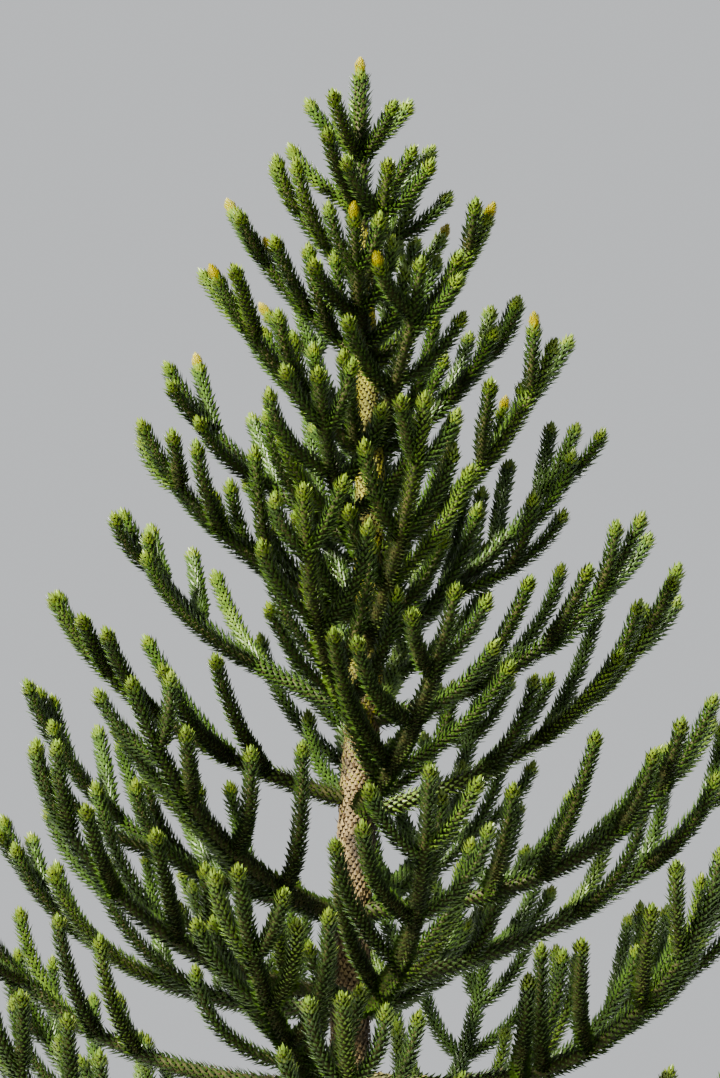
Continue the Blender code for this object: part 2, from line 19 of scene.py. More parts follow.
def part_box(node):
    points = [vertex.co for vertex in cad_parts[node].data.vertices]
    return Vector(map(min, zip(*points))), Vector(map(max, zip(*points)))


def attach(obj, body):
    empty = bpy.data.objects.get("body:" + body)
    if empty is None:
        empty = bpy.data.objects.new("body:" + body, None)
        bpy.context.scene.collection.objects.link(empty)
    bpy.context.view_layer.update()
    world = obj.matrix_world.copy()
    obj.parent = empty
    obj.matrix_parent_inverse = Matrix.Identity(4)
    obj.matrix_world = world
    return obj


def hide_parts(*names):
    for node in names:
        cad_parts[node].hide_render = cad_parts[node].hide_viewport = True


bl_info = {
    "name": "Potted monkey puzzle tree",
    "version": (1, 0, 0),
    "blender": (4, 5, 0),
    "location": "3D View > Sidebar > Monkey puzzle",
    "description": "Grows the tree's leafy shoots round its limbs and finishes its trunk, pot and soil",
    "category": "Add Mesh",
}

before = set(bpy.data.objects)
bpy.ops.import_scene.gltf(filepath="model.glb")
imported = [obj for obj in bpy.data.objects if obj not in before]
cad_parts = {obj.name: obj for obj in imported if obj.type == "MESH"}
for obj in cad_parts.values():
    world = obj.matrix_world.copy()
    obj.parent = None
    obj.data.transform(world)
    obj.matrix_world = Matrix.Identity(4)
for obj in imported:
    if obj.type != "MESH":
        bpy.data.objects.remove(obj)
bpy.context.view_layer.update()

# Sizes that the solids give
TRUNK_FOOT, TRUNK_TOP = (corner.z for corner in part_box("trunk"))
TREE_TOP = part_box("leader")[1].z
SOIL_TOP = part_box("soil")[1].z
POT_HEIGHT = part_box("pot")[1].z
POT_RIM_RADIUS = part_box("pot")[1].x

# The pot, and how far the corners of its profile are rounded. Its rim tapers in towards the rim's foot,
# its mouth flares out, and each corner of the neck under the rim is (out, down, rounding), measured from
# where the rim's foot meets the body
POT_FOOT_RADIUS = 0.315
POT_BODY_RADIUS = 0.405
POT_RIM_DEPTH = 0.085
POT_RIM_TAPER = 0.004
POT_WALL = 0.028
POT_FLOOR = 0.035
DRAIN_COUNT = 3
DRAIN_RADIUS = 0.014
DRAIN_CIRCLE = 0.19
DRAIN_SIDES = 24
POT_FLARE = 0.004
POT_FLOOR_ROUND = 0.012
POT_RIM_ROUND = 0.010
POT_RIM_FOOT_ROUND = 0.009
POT_NECK = ((0.003, 0.0, 0.003), (-0.002, 0.012, 0.004), (-0.001, 0.020, 0.004))
POT_FOOT_ROUND = 0.008
POT_SHARP_ANGLE = 50.0

# The soil: its lumps are (closeness, height), it falls towards the pot's wall, and crumbs lie on it
SOIL_SHOULDER = 0.012
SOIL_SHOULDER_IN = 0.001
SOIL_SHOULDER_DEPTH = 0.03
SOIL_RINGS = 44
SOIL_SIDES = 160
SOIL_LUMPS = ((14, 0.006), (60, 0.0035))
SOIL_LUMP_MOST = 0.004
SOIL_SINK = 0.002
SOIL_FALL = 0.010
SOIL_FALL_FROM = 0.35
CRUMBS_FROM = 0.07
CRUMBS_OFF_WALL = 0.014
CRUMB_LEAST = 0.0028
CRUMB_SPREAD = 3.2
CRUMB_STRETCHES = ((0.7, 1.3), (0.7, 1.3), (0.5, 0.9))
CRUMB_UNEVEN = (0.75, 1.2)
CRUMB_LIFT = 0.2

# The growth rule of the solids
SEED = 31
SEAT_GAP = 0.0003
TRUNK_PROFILE = (
    (TRUNK_FOOT, 0.088),
    (0.60, 0.072),
    (0.70, 0.060),
    (0.95, 0.054),
    (1.50, 0.052),
    (2.20, 0.046),
    (3.00, 0.034),
    (3.40, 0.026),
    (3.66, 0.021),
)
TRUNK_STRAIGHT_END = 0.02
TRUNK_WANDER = 0.028
TRUNK_DRIFT = 0.02
CROWN_RADIUS = 1.36
CROWN_DEPTH = 2.6
CROWN_SWELL = 0.75
CROWN_FULLER = 0.04
Tier = namedtuple("Tier", "height limbs heading lift tip_lift has_bough")
TIERS = (
    Tier(3.46, 3, 60, 42, 68, False),
    Tier(3.23, 4, -10, 38, 67, False),
    Tier(2.99, 4, 26, 34, 66, False),
    Tier(2.74, 4, -14, 30, 66, False),
    Tier(2.49, 4, 20, 25, 66, False),
    Tier(2.24, 4, -22, 14, 67, False),
    Tier(1.98, 4, 10, 18, 68, False),
    Tier(1.72, 4, -28, 9, 70, False),
    Tier(1.46, 5, 0, 4, 72, False),
    Tier(1.20, 5, 36, -2, 74, True),
    Tier(0.95, 5, -4, -6, 74, True),
)
HEADING_JITTER = 12.0
HEIGHT_JITTER = 0.045
LIFT_JITTER = 6.0
ROOT_LIFT_JITTER = 8.0
LIMB_SWEEP = 14.0
LIMB_BEND = 1.55
LIMB_STEPS = 24
LENGTH_STEP = 0.01
BOUGH_SHARE = 0.30
LIMB_ROOT_RADIUS = 0.012
LIMB_ROOT_RADIUS_A_METRE = 0.010
PAIR_SPACING = 0.222
FIRST_PAIR = 0.22
FIRST_PAIR_BEYOND_BOUGH = 0.33
LAST_PAIR = 0.88
PAIR_STAGGER = 0.038
SIDE_SPREAD = 57.0
SIDE_SWEEP = -22.0
SIDE_LIFT = 9.0
SIDE_LIFT_SHARE = 0.5
SIDE_TIP_RISE = 4.0
SIDE_TIP_JITTER = 16.0
SIDE_TIP_MOST = 88.0
SIDE_JITTER = 13.0
SIDE_BENDS = (0.7, 1.5)
SIDE_LENGTH = 0.13
SIDE_LENGTH_SHARE = 0.46
SIDE_LENGTH_MOST = 0.48
SIDE_LENGTH_JITTER = 0.14
SHORTENINGS = (1.0, 0.8, 0.62)
BALL_STEP = 0.025
SHOOT_ROOM = 0.033
CLEARANCE = 0.006
LIMB_ROOM_FROM = 0.12
SHOOT_ROOM_FROM = 0.2
TRUNK_OWNER = -1
BUD_TIERS = (1, 2, 3)
BUD_CHANCE = 0.17
BUD_HALF_LENGTH = 0.022
Whorl = namedtuple("Whorl", "height shoots length lift tip_lift")
LEADER_WHORLS = (Whorl(3.70, 5, 0.30, 28, 62), Whorl(3.88, 5, 0.24, 34, 62))
LEADER_LENGTH_JITTER = 0.12

# Finer twigs, which only the looks have, in pairs wherever they find room. The places along a line are
# shares of its length, and the tiers from LOW_TIER down have their own rules
TwigRule = namedtuple("TwigRule", "first last spacing spread length share most clear")
TWIGS_ON_LIMBS = TwigRule(0.05, 0.94, 0.10, 52.0, 0.18, 0.30, 0.40, 0.062)
TWIGS_ON_SHOOTS = TwigRule(0.25, 0.78, 0.09, 44.0, 0.14, 0.40, 0.30, 0.058)
TWIGS_ON_LOW_LIMBS = TwigRule(0.14, 0.92, 0.14, 50.0, 0.18, 0.30, 0.40, 0.076)
TWIGS_ON_BOUGHED_LIMBS = TwigRule(0.32, 0.94, 0.14, 52.0, 0.16, 0.30, 0.38, 0.080)
TWIGS_ON_LOW_SHOOTS = TwigRule(0.30, 0.78, 0.12, 48.0, 0.13, 0.40, 0.28, 0.078)
LOW_TIER = 5
TWIG_FROM_LENGTH = 0.20
TWIG_SWEEP = -20.0
TWIG_LIFT = 4.0
TWIG_LIFT_SHARE = 0.7
TWIG_BENDS = (0.5, 1.1)
TWIG_TIP_RISE = 12.0
TWIG_JITTER = 14.0
TWIG_LENGTH_JITTER = 0.2
TWIG_ROOM = 0.030
TWIG_ROOM_FROM = 0.35
TWIG_REACH = 0.99

# The wood inside the shoots: radii at root and tip
MAIN_TIP_RADIUS = 0.009
MAIN_TAPER = 0.7
LEADER_RADII = (0.024, 0.016)
SHOOT_RADII = (0.011, 0.008)
STEM_END_RADIUS = 0.001
STEM_SIDES = 6

# Leaves: uneven is (lean in degrees, share of size), and tones has the share of sprays of each green
GOLDEN_ANGLE = 137.508
LEAF_WIDEST = 0.38
GROWN_UNEVEN = (6.0, 0.12)
YOUNG_UNEVEN = (4.0, 0.10)
OLD_UNEVEN = (8.0, 0.18)
BUD_UNEVEN = (8.0, 0.2)
TONES = {"deep": 0.42, "mid": 0.38, "pale": 0.20}

# Leaves along the shoots. Their sizes, leans in degrees and distances from the shoot's middle are given
# at some distances from its tip
LINE_STEP = 0.02
SHOOT_LEAVES_FROM = 0.012
OFF_TRUNK = 0.002
GROWN_SIZES = ((0.03, 0.08, 0.5, 1.2), (0.92, 1.0, 1.0, 0.92))
GROWN_LEANS = ((0.03, 0.10, 0.5, 1.2), (44.0, 50.0, 52.0, 50.0))
GROWN_SINK = 0.9
YOUNG_LENGTH = 0.046
YOUNG_OVERLAP = 0.008
YOUNG_END = 0.016
YOUNG_STEP = 0.004
YOUNG_LEANS = ((0.0, 0.004, 0.009, 0.016), (8.0, 25.0, 40.0, 50.0))
YOUNG_OUT = ((0.0, 0.016), (0.001, 0.009))
YOUNG_SHARE = 0.88
YOUNG_SPACING_SHARE = 0.6

# Bark with the scars of fallen leaves. The scar nearest to a place is sought among so many to each side
BARK_ROOT = 0.015
BARK_STEP = 0.005
BARK_SIDES = 64
BOUGH_BARK_SIDES = 20
BOUGH_BARK_OUT = 0.002
Scars = namedtuple("Scars", "pitch depth")
TRUNK_SCARS = Scars(0.0028, 0.005)
BOUGH_SCARS = Scars(0.0035, 0.003)
SCAR_WIDTH = 0.014
SCAR_HEIGHT = 0.022
SCARS_TO_A_SIDE = 44

# Old leaves on the trunk. They cover it as scales, which change from tan to ochre, and brown ones stand
# out from it. Sizes and leans in degrees are for the low and the high end of a zone
Zone = namedtuple("Zone", "kind low high sizes leans")
SCALES_FROM = 0.62
RAGGED_FROM = 0.80
BLEND_FROM = 1.95
BLEND_TO = 2.45
TRUNK_ZONES = (
    Zone("brown", RAGGED_FROM, BLEND_TO, (0.6, 0.9), (58.0, 44.0)),
    Zone("tan", SCALES_FROM, BLEND_FROM, (0.8, 1.1), (22.0, 22.0)),
    Zone("tan", BLEND_FROM, BLEND_TO, (1.1, 0.5), (22.0, 18.0)),
    Zone("ochre", BLEND_FROM, BLEND_TO, (0.5, 1.1), (18.0, 24.0)),
    Zone("ochre", BLEND_TO, TRUNK_TOP, (1.1, 0.9), (24.0, 20.0)),
)
OLD_SPACINGS = {"brown": 0.0050, "tan": 0.0006, "bough": 0.0014, "ochre": 0.00075}
OLD_SINK = 0.002

# Old leaves on the boughs, at shares of the limb's length: brown ones that stand out, scales near the
# trunk, and green leaves beyond them
BOUGH_END = 0.36
BOUGH_LEAVES_FROM = 0.14
BOUGH_SCALES_TO = BOUGH_LEAVES_FROM + 0.02
BOUGH_SCALES = ((0.7, 0.9), (22.0, 26.0))
RAGGED_OFF_TRUNK = 0.07
BOUGH_RAGGED = ((0.55, 0.8), (60.0, 50.0))

# Buds: radii as shares of the length and of the greatest radius, the length, width, thickness and bend
# of a scale, and the leans and sizes of the scales from root to tip
BUD_SHAPE = ((0.0, 0.35), (0.2, 0.85), (0.45, 1.0), (0.7, 0.85), (0.88, 0.5), (1.0, 0.05))
BUD_RADIUS = 0.014
BUD_STATIONS = 12
BUD_CORE_SHARE = 0.8
BUD_CORE_SIDES = 8
BUD_SCALE = (0.015, 0.006, 0.0016, 0.1)
BUD_LEANS = ((0.0, 0.6, 1.0), (38.0, 24.0, 8.0))
BUD_SIZES = ((0.0, 1.0), (1.0, 0.7))
BUD_SPACING = 0.0004

# How dull each finish is, from 0 for a mirror to 1, and how strongly all of them bend light
LEAF_ROUGHNESS = 0.42
YOUNG_ROUGHNESS = 0.40
BUD_ROUGHNESS = 0.5
LEAF_BASE_ROUGHNESS = 0.6
STEM_ROUGHNESS = 0.7
OLD_LEAF_ROUGHNESS = 0.7
OLD_ROOT_ROUGHNESS = 0.75
CLAY_ROUGHNESS = 0.82
BARK_ROUGHNESS = 0.85
CARD_ROUGHNESS = 0.9
SOIL_ROUGHNESS = 0.95
NATURAL_IOR = 1.45

# The stage
FLOOR_RADIUS = 7.0
FLOOR_SIDES = 128
GLOW = 0.62
Lamp = namedtuple("Lamp", "name place size power colour")
LAMPS = (
    Lamp("key", (-5.0, -6.0, 7.5), 1.2, 5000.0, "#fffaf0"),
    Lamp("fill", (7.0, -5.0, 3.5), 4.0, 160.0, "#e6efff"),
    Lamp("back", (2.0, 7.0, 6.0), 3.0, 350.0, "#ffffff"),
)
SENSOR_HEIGHT = 24.0
FAR_CLIP = 100.0


# Small helpers


def linear(code):
    """An sRGB hex colour such as #8a6b3c as linear red, green, blue and alpha."""
    parts = [int(code[place : place + 2], 16) / 255 for place in (1, 3, 5)]
    return (*[part / 12.92 if part <= 0.04045 else ((part + 0.055) / 1.055) ** 2.4 for part in parts], 1.0)


def add_node(tree, kind, settings=None, inputs=None):
    """Adds a node with its settings; an input that is a socket is linked, and any other is its value."""
    made = tree.nodes.new(kind)
    for name, value in (settings or {}).items():
        setattr(made, name, value)
    for name, value in (inputs or {}).items():
        if isinstance(value, bpy.types.NodeSocket):
            tree.links.new(value, made.inputs[name])
        else:
            made.inputs[name].default_value = value
    return made


def mesh_object(name, points, faces, finish):
    """A smooth mesh object from points and faces, with one material."""
    mesh = bpy.data.meshes.new(name)
    mesh.from_pydata(points, [], faces)
    mesh.materials.append(finish)
    mesh.validate()
    mesh.shade_smooth()
    piece = bpy.data.objects.new(name, mesh)
    bpy.context.scene.collection.objects.link(piece)
    return piece


def finished(piece, slot, *nodes):
    """Puts a piece on the tree's body and hides the nodes that it replaces; its slot is not used."""
    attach(piece, "root")
    if nodes:
        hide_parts(*nodes)
    return piece


def drop(piece):
    """Removes a helper object with its mesh."""
    mesh = piece.data
    bpy.data.objects.remove(piece)
    bpy.data.meshes.remove(mesh)


def apply_modifiers(piece):
    """Makes what a piece's modifiers give its plain mesh."""
    before = piece.data
    graph = bpy.context.evaluated_depsgraph_get()
    made = bpy.data.meshes.new_from_object(piece.evaluated_get(graph))
    if not made.polygons:
        raise RuntimeError(f"{piece.name} came out empty")
    piece.modifiers.clear()
    piece.data = made
    bpy.data.meshes.remove(before)
    return made


# The growth rule


def trunk_axis(height):
    """Centre of the trunk at a height: upright at the foot, then wandering a little to the sides."""
    share = max(height - TRUNK_FOOT - TRUNK_STRAIGHT_END, 0.0) / (TRUNK_TOP - TRUNK_FOOT)
    settled = (1 - math.cos(math.pi * min(share * 4, 1.0))) / 2
    across = -TRUNK_WANDER * math.sin(2 * math.pi * share) * settled
    return np.array((across, TRUNK_DRIFT * share**2, height))


def trunk_radius(height):
    """Radius of the trunk at a height."""
    heights, radii = zip(*TRUNK_PROFILE)
    return float(np.interp(height, heights, radii))


def crown_radius(height, heading):
    """How far the crown reaches from its axis at a height, in a direction."""
    depth = min(max((TREE_TOP - height) / CROWN_DEPTH, 0.0), 1.0)
    fuller = 1 + CROWN_FULLER * math.cos(math.radians(heading))
    return CROWN_RADIUS * depth**CROWN_SWELL * fuller


class Limb:
    """The centre line of a limb or shoot, which bends from its first lift to its tip's lift."""

    def __init__(self, start, heading, lift, tip_lift, length, sweep=0.0, bend=LIMB_BEND):
        self.shares = (np.arange(LIMB_STEPS) + 0.5) / LIMB_STEPS
        self.length = length
        self.headings = np.radians(heading + sweep * self.shares)
        self.lifts = np.radians(lift + (tip_lift - lift) * self.shares**bend)
        level = np.cos(self.lifts)
        ways = [level * np.cos(self.headings), level * np.sin(self.headings), np.sin(self.lifts)]
        steps = np.column_stack(ways) * length / LIMB_STEPS
        self.points = np.vstack([start, start + np.cumsum(steps, axis=0)])

    def at(self, share):
        """Centre of the limb at a share of its length."""
        place = min(max(share, 0.0), 1.0) * LIMB_STEPS
        station = min(int(place), LIMB_STEPS - 1)
        part = place - station
        return self.points[station] * (1 - part) + self.points[station + 1] * part

    def angles(self, share):
        """Heading and lift, in degrees, at a share of the length."""
        heading = np.interp(share, self.shares, self.headings)
        lift = np.interp(share, self.shares, self.lifts)
        return math.degrees(heading), math.degrees(lift)

    def balls(self, first=0.0):
        """Centres of test balls from a share of the length to the tip."""
        count = max(2, int((1 - first) * self.length / BALL_STEP) + 1)
        return np.array([self.at(share) for share in np.linspace(first, 1.0, count)])


class Space:
    """Test balls along everything placed so far, each with its radius and its owner."""

    def __init__(self):
        self.centres = np.empty((0, 3))
        self.radii = np.empty(0)
        self.owners = np.empty(0, int)

    def take(self, owner, centres, radii):
        """Adds an owner's balls."""
        self.centres = np.vstack([self.centres, centres])
        self.radii = np.append(self.radii, np.broadcast_to(radii, len(centres)))
        self.owners = np.append(self.owners, np.full(len(centres), owner))

    def is_free(self, owner, centres, radius):
        """Whether balls of an owner stay clear of what the other owners hold."""
        others = self.owners != owner
        apart = np.linalg.norm(centres[:, None] - self.centres[others][None], axis=2)
        return bool((apart > radius + self.radii[others] + CLEARANCE).all())

    def is_clear(self, centres, distance):
        """Whether balls stay a distance from every centre placed so far, whoever owns it."""
        apart = np.linalg.norm(centres[:, None] - self.centres[None], axis=2)
        return bool((apart > distance).all())


def length_to_outline(start, heading, lift, tip_lift, sweep):
    """Length at which a limb's tip meets the crown's outline."""
    reach = Limb(np.zeros(3), heading, lift, tip_lift, 1.0, sweep).points[-1]
    length = LENGTH_STEP
    tip = start
    while math.hypot(tip[0], tip[1]) < crown_radius(tip[2], heading):
        length += LENGTH_STEP
        tip = start + reach * length
    return length


def main_limb(tier, number, rng):
    """A tier's limb of a number, from the trunk's middle to the crown's outline."""
    height = tier.height + rng.uniform(-HEIGHT_JITTER, HEIGHT_JITTER)
    heading = tier.heading + 360.0 / tier.limbs * number
    heading += rng.uniform(-HEADING_JITTER, HEADING_JITTER)
    lift = tier.lift + rng.uniform(-ROOT_LIFT_JITTER, ROOT_LIFT_JITTER)
    tip_lift = tier.tip_lift + rng.uniform(-LIFT_JITTER, LIFT_JITTER)
    sweep = rng.uniform(-LIMB_SWEEP, LIMB_SWEEP)
    start = trunk_axis(height)
    length = length_to_outline(start, heading, lift, tip_lift, sweep)
    return Limb(start, heading, lift, tip_lift, length, sweep)


def wished_shoots(limb, first_pair, tip_lift, rng):
    """The side shoots, in pairs, that a limb would bear if nothing stood in their way."""
    pairs = max(1, round(limb.length * (LAST_PAIR - first_pair) / PAIR_SPACING))
    for pair in range(pairs):
        middle = first_pair + (LAST_PAIR - first_pair) * (pair + 0.5) / pairs
        for side in (-1, 1):
            share = middle + rng.uniform(-PAIR_STAGGER, PAIR_STAGGER) / limb.length
            heading, lift = limb.angles(share)
            heading += side * (SIDE_SPREAD + rng.uniform(-SIDE_JITTER, SIDE_JITTER))
            lift = SIDE_LIFT + lift * SIDE_LIFT_SHARE + rng.uniform(-SIDE_JITTER, SIDE_JITTER)
            last_lift = tip_lift + SIDE_TIP_RISE + rng.uniform(-SIDE_TIP_JITTER, SIDE_TIP_JITTER)
            last_lift = min(last_lift, SIDE_TIP_MOST)
            bend = rng.uniform(*SIDE_BENDS)
            length = SIDE_LENGTH + SIDE_LENGTH_SHARE * (1 - share) * limb.length
            length = min(length, SIDE_LENGTH_MOST)
            length *= 1 + rng.uniform(-SIDE_LENGTH_JITTER, SIDE_LENGTH_JITTER)
            yield limb.at(share), heading, lift, last_lift, length, side * SIDE_SWEEP, bend


def placed_shoots(owner, limb, tier, rng, space):
    """The side shoots that find room: one that would touch another mass is shortened or skipped."""
    first_pair = FIRST_PAIR_BEYOND_BOUGH if tier.has_bough else FIRST_PAIR
    found = []
    for start, heading, lift, tip_lift, length, sweep, bend in wished_shoots(
        limb, first_pair, tier.tip_lift, rng
    ):
        for shortening in SHORTENINGS:
            shoot = Limb(start, heading, lift, tip_lift, length * shortening, sweep, bend)
            balls = shoot.balls(SHOOT_ROOM_FROM)
            if space.is_free(owner, balls, SHOOT_ROOM):
                space.take(owner, balls, SHOOT_ROOM)
                found.append(shoot)
                break
    return found


def is_within_crown(limb, heading):
    """Whether a twig's tip stays within the crown's outline."""
    across, along, height = limb.points[-1]
    return math.hypot(across, along) < crown_radius(height, heading) * TWIG_REACH


def placed_twigs(owner, line, rule, tip_lift, rng, space):
    """Pairs of twigs along a line: one without room, or outside the crown, is shortened or skipped."""
    pairs = int(line.length * (rule.last - rule.first) / rule.spacing)
    found = []
    for pair in range(pairs):
        for side in (-1, 1):
            share = rule.first + (rule.last - rule.first) * (pair + rng.random()) / pairs
            heading, lift = line.angles(share)
            heading += side * rule.spread + rng.uniform(-TWIG_JITTER, TWIG_JITTER)
            lift = TWIG_LIFT + lift * TWIG_LIFT_SHARE + rng.uniform(-TWIG_JITTER, TWIG_JITTER)
            last_lift = tip_lift + TWIG_TIP_RISE + rng.uniform(-SIDE_TIP_JITTER, SIDE_TIP_JITTER)
            last_lift = min(last_lift, SIDE_TIP_MOST)
            bend = rng.uniform(*TWIG_BENDS)
            length = min(rule.most, rule.length + rule.share * (1 - share) * line.length)
            length *= 1 + rng.uniform(-TWIG_LENGTH_JITTER, TWIG_LENGTH_JITTER)
            for shortening in SHORTENINGS:
                shorter = length * shortening
                twig = Limb(line.at(share), heading, lift, last_lift, shorter, side * TWIG_SWEEP, bend)
                balls = twig.balls(TWIG_ROOM_FROM)
                has_room = space.is_free(owner, balls, TWIG_ROOM) and space.is_clear(balls, rule.clear)
                if has_room and is_within_crown(twig, heading):
                    space.take(owner, balls, TWIG_ROOM)
                    found.append(twig)
                    break
    return found


def grow_leader():
    """The leader's own line, straight on from the trunk, then its short shoots."""
    foot = trunk_axis(TRUNK_TOP + SEAT_GAP)
    limbs = [Limb(foot, 0.0, 90.0, 90.0, TREE_TOP - BUD_HALF_LENGTH - foot[2])]
    rng = random.Random(f"{SEED}/leader")
    for whorl in LEADER_WHORLS:
        first_heading = rng.uniform(0, 360)
        for number in range(whorl.shoots):
            heading = first_heading + 360.0 * number / whorl.shoots
            heading += rng.uniform(-HEADING_JITTER, HEADING_JITTER)
            height = whorl.height + rng.uniform(-HEIGHT_JITTER, HEIGHT_JITTER) / 2
            length = whorl.length * (1 + rng.uniform(-LEADER_LENGTH_JITTER, LEADER_LENGTH_JITTER))
            start = np.array((foot[0], foot[1], height))
            limbs.append(Limb(start, heading, whorl.lift, whorl.tip_lift, length))
    return limbs


Mass = namedtuple("Mass", "name row limb rng")
Spray = namedtuple("Spray", "limb kind tone has_bud is_bough")


def grow_masses():
    """The main limb of every mass of foliage, each with random draws of its own."""
    grown = []
    for row, tier in enumerate(TIERS):
        for number in range(tier.limbs):
            rng = random.Random(f"{SEED}/{row}/{number}")
            name = f"tier_{row + 1:02d}_{'abcde'[number]}"
            grown.append(Mass(name, row, main_limb(tier, number, rng), rng))
    return grown


def space_taken(masses, leader_limbs):
    """The space that the trunk, the main limbs and the leader take."""
    space = Space()
    heights = np.arange(TRUNK_FOOT, TRUNK_TOP, BALL_STEP)
    centres = np.array([trunk_axis(height) for height in heights])
    space.take(TRUNK_OWNER, centres, [trunk_radius(height) for height in heights])
    for owner, mass in enumerate(masses):
        space.take(owner, mass.limb.balls(LIMB_ROOM_FROM), SHOOT_ROOM)
    for limb in leader_limbs:
        space.take(len(masses), limb.balls(), SHOOT_ROOM)
    return space


def tone_of(rng):
    """Which of the leaf greens a spray has: most are deep or middling, a few are pale."""
    return rng.choices(tuple(TONES), tuple(TONES.values()))[0]


def twig_rules(row):
    """The rules for twigs on a tier's side shoots and on its main limbs."""
    if row < LOW_TIER:
        return TWIGS_ON_SHOOTS, TWIGS_ON_LIMBS
    if TIERS[row].has_bough:
        return TWIGS_ON_LOW_SHOOTS, TWIGS_ON_BOUGHED_LIMBS
    return TWIGS_ON_LOW_SHOOTS, TWIGS_ON_LOW_LIMBS


def mass_sprays(owner, mass, shoots, space):
    """The sprays of one mass: its main limb, its side shoots and the twigs on them."""
    tier = TIERS[mass.row]
    buds = random.Random(f"{SEED}/buds/{mass.name}")
    tones = random.Random(f"{SEED}/tones/{mass.name}")
    sprays = []
    for place, line in enumerate((mass.limb, *shoots)):
        has_bud = mass.row in BUD_TIERS and buds.random() < BUD_CHANCE
        kind = "side" if place else "main"
        is_bough = tier.has_bough and not place
        sprays.append(Spray(line, kind, tone_of(tones), has_bud, is_bough))
    rng = random.Random(f"{SEED}/twigs/{mass.name}")
    on_shoots, on_limbs = twig_rules(mass.row)
    wished = [(line, on_shoots) for line in shoots if line.length > TWIG_FROM_LENGTH]
    for line, rule in (*wished, (mass.limb, on_limbs)):
        for twig in placed_twigs(owner, line, rule, tier.tip_lift, rng, space):
            sprays.append(Spray(twig, "twig", tone_of(tones), False, False))
    return sprays


@functools.lru_cache(maxsize=1)
def grow_tree():
    """Every leafy line of the crown as a spray: main limbs, side shoots, twigs and the leader's."""
    leader_limbs = grow_leader()
    masses = grow_masses()
    space = space_taken(masses, leader_limbs)
    shoots = []
    for owner, mass in enumerate(masses):
        shoots.append(placed_shoots(owner, mass.limb, TIERS[mass.row], mass.rng, space))
    sprays = []
    for owner, mass in enumerate(masses):
        sprays += mass_sprays(owner, mass, shoots[owner], space)
    tones = random.Random(f"{SEED}/tones/leader")
    for place, line in enumerate(leader_limbs):
        kind = "side" if place else "leader"
        sprays.append(Spray(line, kind, tone_of(tones), not place, False))
    return sprays


# Solids made of rings


NEARLY_ALONG = 0.9


def ring_frames(centres):
    """Two directions across a line at each of its points, turned as little as can be along it.

    The first is square to Y, or to X where the line sets out nearly along Y."""
    ahead = np.gradient(centres, axis=0)
    ahead /= np.linalg.norm(ahead, axis=1)[:, None]
    square_to = (0.0, 1.0, 0.0) if abs(ahead[0][1]) < NEARLY_ALONG else (1.0, 0.0, 0.0)
    side = np.cross(ahead[0], square_to)
    sides = np.empty_like(ahead)
    for place, way in enumerate(ahead):
        side = side - way * side.dot(way)
        side /= np.linalg.norm(side)
        sides[place] = side
    return sides, np.cross(ahead, sides)


def rings(centres, radii):
    """Points and faces of a closed body of rings; radii has a row for each ring and a column a side."""
    count, sides = radii.shape
    across, up = ring_frames(centres)
    turn = 2 * np.pi * np.arange(sides) / sides
    out = across[:, None] * np.cos(turn)[None, :, None] + up[:, None] * np.sin(turn)[None, :, None]
    points = (centres[:, None] + out * radii[:, :, None]).reshape(-1, 3)
    faces = []
    for ring in range(count - 1):
        for side in range(sides):
            after = (side + 1) % sides
            low = ring * sides
            faces.append((low + side, low + after, low + sides + after, low + sides + side))
    faces.append(tuple(range(sides))[::-1])
    faces.append(tuple(range((count - 1) * sides, count * sides)))
    return points, faces


def joined_rings(bodies):
    """The points and faces of several ring bodies as one mesh's."""
    points = []
    faces = []
    for centres, radii in bodies:
        first = len(points)
        more_points, more_faces = rings(centres, radii)
        points.extend(more_points)
        faces.extend(tuple(first + corner for corner in face) for face in more_faces)
    return points, faces


def cushions(lengths, turns, girth, pitch):
    """How much the scar of the nearest old leaf stands out, from 0 to 1, at places on a stem.

    lengths run along the stem and turns round it. The scars are diamonds, set a golden angle apart."""
    nearest = np.round(lengths / pitch)[..., None]
    numbers = nearest + np.arange(-SCARS_TO_A_SIDE, SCARS_TO_A_SIDE + 1)
    along = lengths[..., None] - numbers * pitch
    golden = np.radians(GOLDEN_ANGLE) * numbers
    around = (turns[..., None] - golden + np.pi) % (2 * np.pi) - np.pi
    near = np.abs(along) / SCAR_HEIGHT + np.abs(around) * girth[..., None] / SCAR_WIDTH
    return np.clip(1 - near.min(axis=-1), 0, 1)


def scarred(radii, sides, scars):
    """Radii round a stem, a row for each of its rings, with a raised scar for each fallen leaf."""
    turns = 2 * np.pi * np.arange(sides) / sides
    lengths = np.repeat(np.arange(len(radii))[:, None] * BARK_STEP, sides, axis=1)
    girth = np.repeat(radii[:, None], sides, axis=1)
    raised = cushions(lengths, np.repeat(turns[None], len(radii), axis=0), girth, scars.pitch)
    return girth - scars.depth / 2 + scars.depth * raised


# Leaves, set in a spiral along lines


def leaf_object(length, width, thickness, bend):
    """One stiff keeled leaf along +Z, closed, its keel towards +X and its tip bent towards -X.

    The faces beyond its widest place are marked as outer."""
    middle = length * LEAF_WIDEST
    shift = bend * length
    points = [
        (0, 0, 0),
        (shift / 3, -width / 2, middle),
        (shift / 3, width / 2, middle),
        (shift / 3 + thickness, 0, middle),
        (-shift * 2 / 3, 0, length),
    ]
    faces = []
    for first, second in ((1, 2), (2, 3), (3, 1)):
        faces += [(0, first, second), (4, second, first)]
    mesh = bpy.data.meshes.new("leaf")
    mesh.from_pydata(points, [], faces)
    outer = mesh.attributes.new("outer", "BOOLEAN", "FACE")
    for face, mark in zip(faces, outer.data):
        mark.value = 4 in face
    return bpy.data.objects.new("leaf", mesh)


